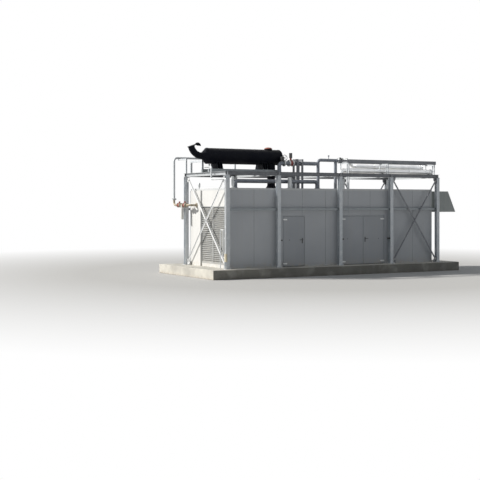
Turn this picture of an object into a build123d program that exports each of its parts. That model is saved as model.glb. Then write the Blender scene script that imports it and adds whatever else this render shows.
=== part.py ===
from build123d import *
import os
from math import atan2, cos, degrees, hypot, radians, sin

os.makedirs("parts", exist_ok=True)

# Generator set in a walk-in enclosure under a steel frame. Millimetres, +Z up.
# The origin is the middle of the plinth's underside, +X runs along the long side to the
# end with the weather hood, and -Y is the side with the doors.

# Frame of H sections
bay_widths = (2400, 3080, 2710, 2610)
frame_width = 3850
roof_clearance = 518
flange_width = 160
beam_depth = 152
flange_thickness = 9
web_thickness = 6
base_plate = 240
base_plate_thickness = 20

# Plinth
plinth_height = 380
margin_end = 800
margin_front = 400
margin_back = 800

# Walls and roof of the enclosure
wall_setback = 250
wall_height = 3260
wall_thickness = 100
panel_width = 1170
joint_width = 8
joint_depth = 6
roof_thickness = 100
cap_drop = 75
cap_thickness = 4
cap_cover = 115

# Girt rails and bracing
rail_over_doors = 250
rail_height = 90
rail_depth = 50
rail_gap = 2
cleat_thickness = 10
cleat_margin = 25
brace_leg = 70
brace_stand = 32
brace_thickness = 8
gusset_size = 230
gusset_thickness = 10
front_brace_depth = 42

# Doors, measured from the frame's left end
single_door_start = 2820
single_leaf_width = 1025
double_door_start = 5775
double_leaf_width = 1106
leaf_height = 2060
leaf_thickness = 60
leaf_sill = 20
leaf_gap = 8
meeting_gap = 12
jamb_width = 40
head_height = 52
hinge_radius = 10
hinge_standoff = 13
pin_inset = 4
strap_length = 190
strap_height = 40
strap_thickness = 6
hinge_levels = (130, 1960)
hinge_play = 0.3
handle_level = 1110
handle_inset = 95
handle_plate_height = 220
handle_plate_width = 46
handle_plate_thickness = 8
lever_length = 140
lever_radius = 10
lever_standoff = 55
keeper_inset = 290
keeper_radius = 16
keeper_standoff = 14
catch_length = 110
catch_height = 60
catch_width = 40

# Louvre in the left end wall, measured from the frame's front line
louvre_start = 555
louvre_end = 2640
louvre_sill = 140
louvre_head = 2520
louvre_border = 45
mullion_width = 60
blade_pitch = 81
blade_depth = 95
blade_rise = 62
blade_lip = 16
blade_thickness = 4
louvre_proud = 12
blade_inset = 4
cover_panel_thickness = 60

# Weather hood on the right end wall
hood_drop = 1010
hood_top_reach = 960
hood_reach = 1400
hood_skin = 30
hood_opening_step = 130
hood_opening_drop = 200
hood_opening_side = 300

# Silencer and exhaust, measured from the frame's front left corner and the plinth's top
silencer_y = 1850
silencer_lift = 210
silencer_radius = 330
silencer_start = 50
silencer_end = 3560
dish_depth = 110
cone_length = 220
exhaust_radius = 136.5
exhaust_wall = 6
elbow_radius = 480
elbow_turn = 75
outlet_straight = 35
rim_radius = 165
rim_thickness = 14
flap_radius = 158
flap_thickness = 8
flap_seat_gap = 0.3
rib_reach = 60
rib_height = 14
rib_width = 32
rib_toe = 5
pivot_offset = 186
pivot_height = 18
pin_radius = 6
pin_play = 0.3
eye_radius = 16
eye_play = 2
lug_width = 12
lug_gap = 26
lug_root = 10
weight_width = 34
weight_crest = (120, 88)
weight_tip = (270, -54)
weight_heel = (100, -42)
weight_throat = (52, -20)
subrail_offset = 300
subrail_width = 100
subrail_height = 140
subrail_length = 3500
saddle_places = (545, 2725)
saddle_length = 250
saddle_half_width = 240
saddle_wrap = 115
saddle_web = 30
inlet_place = 3200
inlet_radius = 170
inlet_collar = 225
inlet_flange = 210
inlet_flange_lift = 60
inlet_collar_thickness = 24
dome_place = 3050
dome_radius = 170
dome_rise = 100
dome_neck = 30
band_width = 60
band_rise = 8

# Condensate drain
drain_radius = 36
drain_bend = 75
drain_start_x = 200
drain_over_frame = 220
drain_off = 50
drain_drop_y = 1200
drain_under_frame = 310
drain_clip_shares = (0.205, 0.56, 0.897)
pot_top = 620
pot_height = 320
pot_radius = 55
pot_rim = 22
pot_rim_step = 6
siphon_radius = 17
siphon_bend = 50
siphon_legs = (180, 410)
siphon_top = 1570
clip_height = 30
clip_grip = 46

# Roof pipework
coolant_y = 1350
coolant_radius = 85
coolant_bend = 150
coolant_rise = 430
coolant_start = 3300
reducer_length = 90
loop_radius = 70
loop_bend = 130
loop_rise = 595
loop_start = 5280
loop_end = 6200
loop_tee = 110
loop_vent_place = 5840
loop_vent_radius = 14
loop_vent_height = 150
bleeder_radius = 34
bleeder_height = 62
stand_places = (4120, 4370)
stand_width = 70
stand_gap = 30
stand_head = 20
seat_share = 0.4
clad_radius = 115
upper_rise = 345
jog_start = 6900
jog_end = 7130
jog_bend = 150
clad_start = 7260
lower_y = 700
lower_radius = 98
lower_rise = 130
lower_start = 6000
lower_bend = 200
fat_radius = 120
fat_stretches = ((6520, 7700), (9730, 10790))
pipe_overhang = 60
clad_stop = 30
pipe_flange_radius = 142.5
pipe_flange_thickness = 24
bolt_circle = 240
bolt_count = 8
bolt_hole = 11
collar_width = 45
collar_height = 30
rack_start = 6150
rack_front_y = 250
rack_pair = 120
rack_post = 40
ladder_depth = 650
ladder_rise = 455
ladder_height = 150
ladder_side = 20
ladder_start = 6050
rung_pitch = 300
rung_width = 40
rung_height = 25
gap_pipe_radius = 85
gap_pipe_y = 1000
gap_pipe_rise = 305
gap_pipe_start = 950
gap_pipe_end = 5000
gap_bend = 130
vent_pipe = (620, 600, 60)
air_pipe = (3470, 780, 85)
edge_vent = (310, 3000)
edge_vent_stem = 22
edge_vent_radius = 50
edge_vent_lift = 55
edge_vent_height = 190
stack_clearance = 40
coolant_valve_place = 3876
valve_half_length = 70
valve_radius = 115
neck_radius = 45
valve_rise = 220
actuator_radius = 68
actuator_height = 215
clad_valve_place = 6450
clad_valve_radius = 95
clad_valve_rise = 135
clad_valve_cap = 50
wheel_place = 3450
wheel_radius = 125
wheel_rim = 11
wheel_rise = 210
wheel_off = 190
spoke_radius = 8
gear_half = 60
spindle_end = 15
goal_posts_y = (2250, 3300)
goal_rise = 480
goal_width = 80

# Gas line
gas_radius = 44.5
gas_bend = 150
gas_x = -150
gas_y = 4500
gas_rise = 690
gas_drop = 700
gas_entry_y = 3000
gas_run_end = 2700
gas_flange_radius = 100
gas_flange_thickness = 20
gas_bolt_circle = 160
gas_bolt_hole = 9
arm_width = 60
gas_valve_places = (3960, 3430)
gas_valve_radius = 82
gas_valve_half = 75
filter_y = 3690
filter_radius = 65
filter_length = 610

# Levels over the plinth's top that follow from the driving sizes
frame_height = wall_height + roof_clearance + beam_depth
door_head_level = leaf_sill + leaf_height + leaf_gap + head_height
rail_level = door_head_level + rail_over_doors
hood_sill = wall_height - hood_drop
hood_opening_sill = hood_sill + hood_opening_step
hood_opening_head = wall_height - hood_opening_drop
silencer_level = frame_height + subrail_height + silencer_lift + silencer_radius
drain_high = frame_height + drain_over_frame
drain_low = frame_height - drain_under_frame
coolant_level = frame_height + coolant_rise
loop_level = frame_height + loop_rise
upper_level = frame_height + upper_rise
lower_level = frame_height + lower_rise
ladder_level = frame_height + ladder_rise
gap_pipe_level = wall_height + gap_pipe_rise
wheel_level = coolant_level + wheel_rise
goal_level = frame_height + goal_rise
gas_high = frame_height + gas_rise
gas_low = wall_height - gas_drop

# Places that follow from the driving sizes
frame_length = sum(bay_widths) + flange_width
left = -frame_length / 2
right = left + frame_length
front = -frame_width / 2 - (margin_back - margin_front) / 2
back = front + frame_width
deck = plinth_height
beam_under = deck + frame_height - beam_depth
frame_top = deck + frame_height
column_places = [left + flange_width / 2 + sum(bay_widths[:i]) for i in range(len(bay_widths) + 1)]
front_row = front + flange_width / 2
column_front = front_row - beam_depth / 2
back_row = back - flange_width / 2
wall_left = left + wall_setback
wall_right = right - wall_setback
wall_front = front + wall_setback
wall_back = back - wall_setback
wall_top = deck + wall_height


def block(x0, x1, y0, y1, z0, z1):
    """A plain block between the given faces."""
    return Pos((x0 + x1) / 2, (y0 + y1) / 2, (z0 + z1) / 2) * Box(x1 - x0, y1 - y0, z1 - z0)


def outline(plane, points, length):
    """The closed outline through the points, drawn on the plane and extruded along its normal."""
    return extrude(plane * make_face(Polyline(*points, close=True)), amount=length)


def rod(start, end, radius):
    """A round bar from one point to another."""
    direction = Vector(*end) - Vector(*start)
    return extrude(Plane(origin=start, z_dir=direction) * Circle(radius), amount=direction.length)


def pipe(points, radius, bend):
    """A solid pipe through the points, with bends of one radius."""
    path = FilletPolyline(*points, radius=bend) if len(points) > 2 else Line(*points)
    return sweep(Plane(origin=path @ 0, z_dir=path % 0) * Circle(radius), path=path)


def save(shape, node):
    """Write the piece as its node's file."""
    export_step(shape, f"parts/{node}.step")


# Plinth: one block of concrete, cast on the ground
plinth = block(left - margin_end, right + margin_end, front - margin_front, back + margin_back, 0, deck)
save(plinth, "plinth")


# Steel frame
def h_points():
    """Corner points of the H section, centred, with its flanges along the first axis."""
    half_width = flange_width / 2
    half_depth = beam_depth / 2
    inner = half_depth - flange_thickness
    half_web = web_thickness / 2
    quarter = [(half_web, inner), (half_width, inner), (half_width, half_depth)]
    upper = quarter + [(-x, y) for x, y in reversed(quarter)]
    return upper + [(-x, -y) for x, y in upper]


def h_along_x(x0, x1, y, z):
    """An H beam along X."""
    plane = Plane(origin=(x0, y, z), x_dir=(0, 1, 0), z_dir=(1, 0, 0))
    return outline(plane, h_points(), x1 - x0)


def h_along_y(x, y0, y1, z):
    """An H beam along Y."""
    plane = Plane(origin=(x, y0, z), x_dir=(-1, 0, 0), z_dir=(0, 1, 0))
    return outline(plane, h_points(), y1 - y0)


def column(x, y):
    """A column on its base plate, with its flanges along the long side."""
    foot = deck + base_plate_thickness
    half = base_plate / 2
    shaft = outline(Plane(origin=(x, y, foot)), h_points(), beam_under - foot)
    return block(x - half, x + half, y - half, y + half, deck, foot) + shaft


def cross_beam(x):
    """A beam between the two long ones, coped so that its web reaches theirs."""
    level = beam_under + beam_depth / 2
    half_web = web_thickness / 2
    bar = h_along_y(x, front_row + flange_width / 2, back_row - flange_width / 2, level)
    web_low = beam_under + flange_thickness
    web_high = frame_top - flange_thickness
    web = block(x - half_web, x + half_web, front_row + half_web, back_row - half_web, web_low, web_high)
    return bar + web


save(Compound([column(x, y) for y in (front_row, back_row) for x in column_places]), "columns")
beam_level = beam_under + beam_depth / 2
save(Compound([h_along_x(left, right, y, beam_level) for y in (front_row, back_row)]), "long_beams")
save(Compound([cross_beam(x) for x in column_places]), "cross_beams")


def rail(x0, x1, y0):
    """A girt rail with its end cleats, between two column webs."""
    low = deck + rail_level - rail_height / 2
    high = low + rail_height
    bar = block(x0, x1, y0, y0 + rail_depth, low, high)
    for x in (x0, x1 - cleat_thickness):
        bar += block(x, x + cleat_thickness, y0, y0 + rail_depth, low - cleat_margin, high + cleat_margin)
    return bar


inner_face = beam_depth / 2 - flange_thickness
half_web = web_thickness / 2
rail_rows = (front_row + inner_face - rail_gap - rail_depth, back_row - inner_face + rail_gap)
bays = list(zip(column_places, column_places[1:]))
save(Compound([rail(a + half_web, b - half_web, y) for y in rail_rows for a, b in bays]), "girt_rails")


def brace_angle(u0, v0, u1, v1, side):
    """One diagonal of angle section in a brace panel, with a gusset at each end.
    The panel's first two axes span it. The third is its depth, and side says which
    face of the gussets the diagonal lies on."""
    length = hypot(u1 - u0, v1 - v0)
    leg = brace_leg / 2
    seat = gusset_thickness / 2
    points = [
        (-leg, seat),
        (leg, seat),
        (leg, seat + brace_stand),
        (leg - brace_thickness, seat + brace_stand),
        (leg - brace_thickness, seat + brace_thickness),
        (-leg, seat + brace_thickness),
    ]
    points = [(y, side * z) for y, z in points]
    bar = outline(Plane(origin=(0, 0, 0), x_dir=(0, 1, 0), z_dir=(1, 0, 0)), points, length)
    return Pos(u0, v0, 0) * Rot(0, 0, degrees(atan2(v1 - v0, u1 - u0))) * bar


def gusset(u, v, u_way, v_way):
    """A corner plate with its outer corner cut away."""
    size = gusset_size
    cut = size * 0.45
    points = [(0, 0), (size, 0), (size, cut), (cut, size), (0, size)]
    points = [(u + u_way * a, v + v_way * b) for a, b in points]
    plate = make_face(Polyline(*points, close=True))
    return extrude(Pos(0, 0, -gusset_thickness / 2) * plate, amount=gusset_thickness)


def brace_panel(plane, span, height):
    """Two crossed diagonals in a panel that is as wide and high as given, as two solids."""
    inset = gusset_size * 0.38
    rising = brace_angle(inset, inset, span - inset, height - inset, 1)
    rising += gusset(0, 0, 1, 1)
    rising += gusset(span, height, -1, -1)
    falling = brace_angle(inset, height - inset, span - inset, inset, -1)
    falling += gusset(0, height, 1, -1)
    falling += gusset(span, 0, -1, 1)
    return [plane * rising, plane * falling]


brace_foot = deck + base_plate_thickness
brace_height = beam_under - brace_foot
last_start = column_places[-2] + half_web
last_span = column_places[-1] - half_web - last_start
front_face = front_row - inner_face
front_brace_y = front_face + front_brace_depth
back_brace_y = back_row + inner_face - front_brace_depth
front_plane = Plane(origin=(last_start, front_brace_y, brace_foot), x_dir=(1, 0, 0), z_dir=(0, -1, 0))
back_plane = Plane(origin=(last_start, back_brace_y, brace_foot), x_dir=(1, 0, 0), z_dir=(0, -1, 0))
end_start = front_row + beam_depth / 2
end_span = back_row - beam_depth / 2 - end_start
end_plane = Plane(origin=(column_places[0], end_start, brace_foot), x_dir=(0, 1, 0), z_dir=(1, 0, 0))
side_panels = [brace_panel(plane, last_span, brace_height) for plane in (front_plane, back_plane)]
save(Compound([bar for panel in side_panels for bar in panel]), "side_braces")
save(Compound(brace_panel(end_plane, end_span, brace_height)), "end_braces")


# Walls: sandwich panels on the plinth, split beside and over the doorways
single_left = left + single_door_start - jamb_width
single_right = single_left + 2 * jamb_width + single_leaf_width + 2 * leaf_gap
double_left = left + double_door_start - jamb_width
double_right = double_left + 2 * jamb_width + 2 * double_leaf_width + 2 * leaf_gap + meeting_gap
door_head = deck + door_head_level
panel_joints = [
    wall_left + panel_width * i
    for i in range(1, int((wall_right - wall_left) / panel_width) + 1)
    if wall_right - wall_left - panel_width * i > joint_width
]


def long_wall(x0, x1, outer, inward, z0, z1):
    """A stretch of the front or back wall, with a groove at each panel joint."""
    y0, y1 = sorted((outer, outer + inward * wall_thickness))
    wall = block(x0, x1, y0, y1, z0, z1)
    g0, g1 = sorted((outer, outer + inward * joint_depth))
    for x in panel_joints:
        if x0 + joint_width < x < x1 - joint_width:
            wall -= block(x - joint_width / 2, x + joint_width / 2, g0, g1, z0, z1)
    return wall


front_spans = [(wall_left, single_left), (single_right, double_left), (double_right, wall_right)]
front_walls = [long_wall(x0, x1, wall_front, 1, deck, wall_top) for x0, x1 in front_spans]
save(Compound(front_walls), "front_wall")
door_spans = [(single_left, single_right), (double_left, double_right)]
head_walls = [long_wall(x0, x1, wall_front, 1, door_head, wall_top) for x0, x1 in door_spans]
save(Compound(head_walls), "walls_over_doors")
save(long_wall(wall_left, wall_right, wall_back, -1, deck, wall_top), "back_wall")

inner_front = wall_front + wall_thickness
inner_back = wall_back - wall_thickness
inner_left = wall_left + wall_thickness
inner_right = wall_right - wall_thickness
grille_front = front + louvre_start
grille_back = front + louvre_end
grille_low = deck + louvre_sill
grille_high = deck + louvre_head
left_end_sides = [
    block(wall_left, inner_left, inner_front, grille_front, deck, wall_top),
    block(wall_left, inner_left, grille_back, inner_back, deck, wall_top),
]
save(Compound(left_end_sides), "left_end_wall_sides")
louvre_walls = [
    block(wall_left, inner_left, grille_front, grille_back, grille_high, wall_top),
    block(wall_left, inner_left, grille_front, grille_back, deck, grille_low),
]
save(Compound(louvre_walls), "left_end_wall_middle")
cover_top = wall_top - cap_drop - cap_thickness
cover_left = wall_left - cover_panel_thickness
save(block(cover_left, wall_left, grille_back, wall_back, deck, cover_top), "cover_panel")

hood_low = deck + hood_opening_sill
hood_high = deck + hood_opening_head
hood_walls = [
    block(inner_right, wall_right, inner_front, inner_back, deck, hood_low),
    block(inner_right, wall_right, inner_front, inner_back, hood_high, wall_top),
]
save(Compound(hood_walls), "right_end_wall_middle")
right_end_sides = [
    block(inner_right, wall_right, inner_front, inner_front + hood_opening_side, hood_low, hood_high),
    block(inner_right, wall_right, inner_back - hood_opening_side, inner_back, hood_low, hood_high),
]
save(Compound(right_end_sides), "right_end_wall_sides")

roof_low = wall_top - roof_thickness
save(block(inner_left, inner_right, inner_front, inner_back, roof_low, wall_top), "roof_panel")


def cap_ring():
    """Folded flashing over the top edge of the walls, open in the middle."""
    t = cap_thickness
    low = wall_top - cap_drop
    high = wall_top + t
    shell = block(wall_left - t, wall_right + t, wall_front - t, wall_back + t, low, high)
    shell -= block(wall_left, wall_right, wall_front, wall_back, low, wall_top)
    inset = cap_cover
    x0, x1 = wall_left + inset, wall_right - inset
    y0, y1 = wall_front + inset, wall_back - inset
    return shell - block(x0, x1, y0, y1, low, high)


save(cap_ring(), "wall_cap")


# Weather hood: a top, a slanting face and two cheeks, open underneath and to the wall
hood_front = wall_front + cap_thickness
hood_back = wall_back - cap_thickness
hood_mouth = deck + hood_sill
hood_top = wall_top - cap_drop
roof_edge = wall_right + hood_top_reach
nose = wall_right + hood_reach
slope = (nose - roof_edge) / (hood_top - hood_mouth)
skin_run = hood_skin * hypot(1, slope)
hood_points = [
    (wall_right, hood_mouth),
    (nose, hood_mouth),
    (roof_edge, hood_top),
    (wall_right, hood_top),
]
hollow_points = [
    (wall_right, hood_mouth),
    (nose - skin_run, hood_mouth),
    (roof_edge - skin_run + hood_skin * slope, hood_top - hood_skin),
    (wall_right, hood_top - hood_skin),
]
hood_plane = Plane(origin=(0, hood_back, 0), x_dir=(1, 0, 0), z_dir=(0, -1, 0))
hood = outline(hood_plane, hood_points, hood_back - hood_front)
hollow_plane = Plane(origin=(0, hood_back - hood_skin, 0), x_dir=(1, 0, 0), z_dir=(0, -1, 0))
hood -= outline(hollow_plane, hollow_points, hood_back - hood_front - 2 * hood_skin)
save(hood, "end_hood")


# Louvre: a frame with a mullion, and two banks of folded blades
frame_x0 = wall_left - louvre_proud
frame_x1 = inner_left
mullion_mid = (grille_front + grille_back) / 2
grille = block(frame_x0, frame_x1, grille_front, grille_back, grille_low, grille_high)
bank_low = grille_low + louvre_border
bank_high = grille_high - louvre_border
bank_spans = [
    (grille_front + louvre_border, mullion_mid - mullion_width / 2),
    (mullion_mid + mullion_width / 2, grille_back - louvre_border),
]
for y0, y1 in bank_spans:
    grille -= block(frame_x0, frame_x1, y0, y1, bank_low, bank_high)
save(grille, "louvre_frame")


def blade(y0, y1, z):
    """A folded blade that sheds water outwards, with a lip at each edge."""
    x0 = frame_x0 + blade_inset
    x1 = x0 + blade_depth
    t = blade_thickness
    fold = z + blade_lip
    top = fold + blade_rise
    points = [
        (x0, z),
        (x0 + t, z),
        (x0 + t, fold),
        (x1, top),
        (x1, top + blade_lip),
        (x1 - t, top + blade_lip),
        (x1 - t, top + t * 0.6),
        (x0, fold + t * 0.6),
    ]
    plane = Plane(origin=(0, y1, 0), x_dir=(1, 0, 0), z_dir=(0, -1, 0))
    return outline(plane, points, y1 - y0)


blade_height = blade_rise + 2 * blade_lip
blade_count = int((bank_high - bank_low - blade_height) / blade_pitch) + 1
blade_start = bank_low + (bank_high - bank_low - blade_height - (blade_count - 1) * blade_pitch) / 2
blade_levels = [blade_start + blade_pitch * i for i in range(blade_count)]
for node, (y0, y1) in zip(("louvre_bank_right", "louvre_bank_left"), bank_spans):
    save(Compound([blade(y0, y1, z) for z in blade_levels]), node)


# Doors
def door_frame(x0, x1):
    """A steel frame round a doorway, flush with the wall's outer face."""
    frame = block(x0, x1, wall_front, inner_front, deck, door_head)
    low = door_head - head_height
    return frame - block(x0 + jamb_width, x1 - jamb_width, wall_front, inner_front, deck, low)


def strap_hinge_leaf(pin_x, way, z):
    """The leaf's half of a hinge: a strap on its face and a knuckle round the pin."""
    y_pin = wall_front - hinge_standoff
    low = z - strap_height / 2
    high = low + strap_height
    x0, x1 = sorted((pin_x, pin_x + way * strap_length))
    strap = block(x0, x1, wall_front - strap_thickness, wall_front, low, high)
    return strap + rod((pin_x, y_pin, low), (pin_x, y_pin, high), hinge_radius)


def strap_hinge_frame(pin_x, way, z):
    """The frame's half of a hinge: a plate on the jamb and a knuckle under the leaf's."""
    y_pin = wall_front - hinge_standoff
    high = z - strap_height / 2 - hinge_play
    low = high - strap_height
    x0, x1 = sorted((pin_x, pin_x - way * (jamb_width - pin_inset)))
    plate = block(x0, x1, wall_front - strap_thickness, wall_front, low, high)
    return plate + rod((pin_x, y_pin, low), (pin_x, y_pin, high), hinge_radius)


def leaf(x0, x1, hinge_left, handle):
    """A flat door leaf with its strap hinges, keeper stud and, on an active leaf, a lever."""
    low = deck + leaf_sill
    door = block(x0, x1, wall_front, wall_front + leaf_thickness, low, low + leaf_height)
    hinge_x = x0 if hinge_left else x1
    way = 1 if hinge_left else -1
    for z in hinge_levels:
        door += strap_hinge_leaf(hinge_x - way * pin_inset, way, deck + z)
    stud_x = hinge_x + way * keeper_inset
    level = deck + handle_level
    door += rod((stud_x, wall_front, level), (stud_x, wall_front - keeper_standoff, level), keeper_radius)
    if handle:
        spindle_x = (x1 if hinge_left else x0) - way * handle_inset
        plate_x0 = spindle_x - handle_plate_width / 2
        plate_x1 = plate_x0 + handle_plate_width
        plate_y = wall_front - handle_plate_thickness
        plate_low = level - handle_plate_height * 0.65
        door += block(plate_x0, plate_x1, plate_y, wall_front, plate_low, plate_low + handle_plate_height)
        lever_y = wall_front - lever_standoff
        door += rod((spindle_x, plate_y, level), (spindle_x, lever_y, level), lever_radius)
        lever_start = spindle_x + way * lever_radius
        lever_end = spindle_x - way * lever_length
        door += rod((lever_start, lever_y, level), (lever_end, lever_y, level), lever_radius)
    return door


single_x0 = single_left + jamb_width + leaf_gap
single_x1 = single_x0 + single_leaf_width
double_x0 = double_left + jamb_width + leaf_gap
double_x1 = double_x0 + double_leaf_width
double_x2 = double_x1 + meeting_gap
double_x3 = double_x2 + double_leaf_width
single_frame = door_frame(single_left, single_right)
double_frame = door_frame(double_left, double_right)
for z in hinge_levels:
    single_frame += strap_hinge_frame(single_x0 - pin_inset, 1, deck + z)
    double_frame += strap_hinge_frame(double_x0 - pin_inset, 1, deck + z)
    double_frame += strap_hinge_frame(double_x3 + pin_inset, -1, deck + z)
save(Compound([single_frame, double_frame]), "door_frames")
save(leaf(single_x0, single_x1, True, True), "single_door")
save(leaf(double_x0, double_x1, True, False), "double_door_left")
save(leaf(double_x2, double_x3, False, True), "double_door_right")


def catch(x, way):
    """A bracket on a column's web that holds an open door leaf."""
    x0, x1 = sorted((x + way * half_web, x + way * (flange_width / 2 + catch_length)))
    low = deck + handle_level - catch_height / 2
    y0 = front_row - catch_width / 2
    return block(x0, x1, y0, y0 + catch_width, low, low + catch_height)


catches = [catch(column_places[1], 1), catch(column_places[2], 1), catch(column_places[3], -1)]
save(Compound(catches), "door_catches")


# Silencer on its rails and saddles
axis_y = front + silencer_y
axis_z = deck + silencer_level
body_start = left + silencer_start
body_end = left + silencer_end


cone_tip = body_start - cone_length


def along_silencer(x0, x1, radius):
    """A round bar on the silencer's axis."""
    return rod((x0, axis_y, axis_z), (x1, axis_y, axis_z), radius)


def turned(points, depth):
    """A solid of revolution about X: the outline is (place along X, radius) points.
    A dished end closes it, as deep as given: a small knuckle arc, then a flat crown arc."""
    edges = [Line(a, b) for a, b in zip(points, points[1:])]
    place, radius = points[-1]
    knuckle = depth**2 / radius
    crown = radius * (radius + depth) / (2 * depth)
    centre = place + depth - crown
    tilt = atan2(radius - knuckle, crown - depth)
    middle = (tilt + radians(90)) / 2
    knuckle_mid = (place + knuckle * cos(middle), radius - knuckle + knuckle * sin(middle))
    join = (centre + crown * cos(tilt), crown * sin(tilt))
    crown_mid = (centre + crown * cos(tilt / 2), crown * sin(tilt / 2))
    edges.append(ThreePointArc(points[-1], knuckle_mid, join))
    edges.append(ThreePointArc(join, crown_mid, (place + depth, 0)))
    edges.append(Line((place + depth, 0), points[0]))
    return revolve(make_face(edges), axis=Axis.X)


band_outer = silencer_radius + band_rise
silencer_outline = [
    (cone_tip, 0),
    (cone_tip, exhaust_radius),
    (body_start, silencer_radius),
    (body_start, band_outer),
    (body_start + band_width, band_outer),
    (body_start + band_width, silencer_radius),
    (body_end - band_width, silencer_radius),
    (body_end - band_width, band_outer),
    (body_end, band_outer),
    (body_end, silencer_radius),
]
silencer = Pos(0, axis_y, axis_z) * turned(silencer_outline, dish_depth)
dome_x = left + dome_place
neck_top = axis_z + silencer_radius + dome_neck
silencer += rod((dome_x, axis_y, axis_z), (dome_x, axis_y, neck_top), dome_radius)
save(silencer, "silencer")
dome = turned([(0, 0), (0, dome_radius)], dome_rise - dome_neck)
save(Pos(dome_x, axis_y, neck_top) * Rot(0, -90, 0) * dome, "relief_dome")

subrail_y = (axis_y - subrail_offset, axis_y + subrail_offset)
subrails = []
for y in subrail_y:
    y0, y1 = y - subrail_width / 2, y + subrail_width / 2
    subrails.append(block(left, left + subrail_length, y0, y1, frame_top, frame_top + subrail_height))
save(Compound(subrails), "silencer_rails")


def saddle(x):
    """A welded saddle: three cross webs, a base and a curved seat under the silencer."""
    low = frame_top + subrail_height
    high = axis_z - silencer_radius + saddle_wrap
    x0, x1 = x - saddle_length / 2, x + saddle_length / 2
    half = saddle_half_width
    foot = subrail_offset + subrail_width / 2
    plane = Plane(origin=(x0, axis_y, 0), x_dir=(0, 1, 0), z_dir=(1, 0, 0))
    shape = outline(plane, [(-foot, low), (foot, low), (half, high), (-half, high)], saddle_length)
    shape -= along_silencer(x0, x1, silencer_radius)
    pocket_length = (saddle_length - 3 * saddle_web) / 2
    for pocket_x in (x0 + saddle_web, x1 - saddle_web - pocket_length):
        for y0, y1 in ((-foot, -saddle_web), (saddle_web, foot)):
            pocket_end = pocket_x + pocket_length
            pocket = block(pocket_x, pocket_end, axis_y + y0, axis_y + y1, low + saddle_web, high)
            shape -= pocket - along_silencer(pocket_x, pocket_end, silencer_radius + saddle_web)
    return shape


save(Compound([saddle(left + x) for x in saddle_places]), "silencer_saddles")

# Exhaust riser: from a collar on the roof to the silencer's underside
inlet_x = left + inlet_place
inlet = rod((inlet_x, axis_y, wall_top), (inlet_x, axis_y, axis_z), inlet_radius)
for level, radius in ((wall_top, inlet_collar), (frame_top + inlet_flange_lift, inlet_flange)):
    inlet += rod((inlet_x, axis_y, level), (inlet_x, axis_y, level + inlet_collar_thickness), radius)
inlet -= along_silencer(body_start, body_end, silencer_radius)
save(inlet, "exhaust_riser")

# Exhaust outlet: a hollow elbow with a rim, and a counterweighted rain flap on it
turn = radians(elbow_turn)
out_x, out_z = -cos(turn), sin(turn)


def on_elbow(angle):
    """A point on the elbow's centre line, from the silencer's cone."""
    return (cone_tip - elbow_radius * sin(angle), axis_y, axis_z + elbow_radius * (1 - cos(angle)))


elbow_end = on_elbow(turn)
rim_x = elbow_end[0] + out_x * outlet_straight
rim_z = elbow_end[2] + out_z * outlet_straight
elbow_arc = ThreePointArc(on_elbow(0), on_elbow(turn / 2), elbow_end)
elbow_path = Wire([elbow_arc, Line(elbow_end, (rim_x, axis_y, rim_z))])
pipe_ring = Circle(exhaust_radius) - Circle(exhaust_radius - exhaust_wall)
elbow = sweep(Plane(origin=on_elbow(0), z_dir=(-1, 0, 0)) * pipe_ring, path=elbow_path)
rim_plane = Plane(origin=(rim_x, axis_y, rim_z), x_dir=(0, 1, 0), z_dir=(out_x, 0, out_z))
rim_ring = Circle(rim_radius) - Circle(exhaust_radius - exhaust_wall)
elbow += extrude(rim_plane * rim_ring, amount=-rim_thickness)


def in_outlet(along, up, y=0.0):
    """A point near the outlet: along its rim's slope, up from its face, and across."""
    return (rim_x + out_z * along + out_x * up, axis_y + y, rim_z - out_x * along + out_z * up)


def slope_plate(points, width, y=0.0):
    """A plate across the outlet, drawn in its rim's own slope."""
    corners = [in_outlet(a, b, y + width / 2) for a, b in points]
    return extrude(make_face(Polyline(*corners, close=True)), amount=width, dir=(0, -1, 0))


def on_pivot(half_length, radius):
    """A round bar on the flap's pivot."""
    start = in_outlet(pivot_offset, pivot_height, -half_length)
    return rod(start, in_outlet(pivot_offset, pivot_height, half_length), radius)


lug_points = [
    (rim_radius - lug_root, -2 * rim_thickness),
    (pivot_offset + lug_width, 0),
    (pivot_offset + lug_width, pivot_height + lug_width),
    (pivot_offset - lug_width, pivot_height + lug_width),
    (flap_radius + lug_root / 2, 0),
    (rim_radius - lug_root, -2),
]
for way in (-1, 1):
    elbow += slope_plate(lug_points, lug_width, way * (lug_gap + lug_width / 2))
save(elbow + on_pivot(lug_gap + lug_width, pin_radius), "exhaust_elbow")

flap_plane = Plane(origin=in_outlet(0, flap_seat_gap), x_dir=(0, 1, 0), z_dir=(out_x, 0, out_z))
flap = extrude(flap_plane * Circle(flap_radius), amount=flap_thickness)
rib_points = [
    (-rib_reach, flap_thickness),
    (-rib_reach, flap_thickness + rib_height),
    (pivot_offset, pivot_height + eye_radius),
    (pivot_offset, pivot_height - lug_width),
    (rim_radius - 2 * lug_root, rib_toe + flap_seat_gap),
    (flap_radius - 3 * lug_root, flap_thickness),
]
flap += slope_plate(rib_points, rib_width)
flap += on_pivot(lug_gap - eye_play, eye_radius)
weight_edges = [
    ThreePointArc((0, eye_radius), weight_crest, weight_tip),
    Line(weight_tip, weight_heel),
    ThreePointArc(weight_heel, weight_throat, (0, -eye_radius)),
    Line((0, -eye_radius), (0, eye_radius)),
]
weight_start = in_outlet(pivot_offset, pivot_height, weight_width / 2)
weight_plane = Plane(origin=weight_start, x_dir=(1, 0, 0), z_dir=(0, -1, 0))
flap += extrude(weight_plane * make_face(weight_edges), amount=weight_width)
save(flap - on_pivot(lug_gap, pin_radius + pin_play), "rain_flap")


# Pipework, measured from the frame's front left corner and the plinth's top
def at(x, y, z):
    """A place from the frame's front left corner and the plinth's top."""
    return (left + x, front + y, deck + z)


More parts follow.
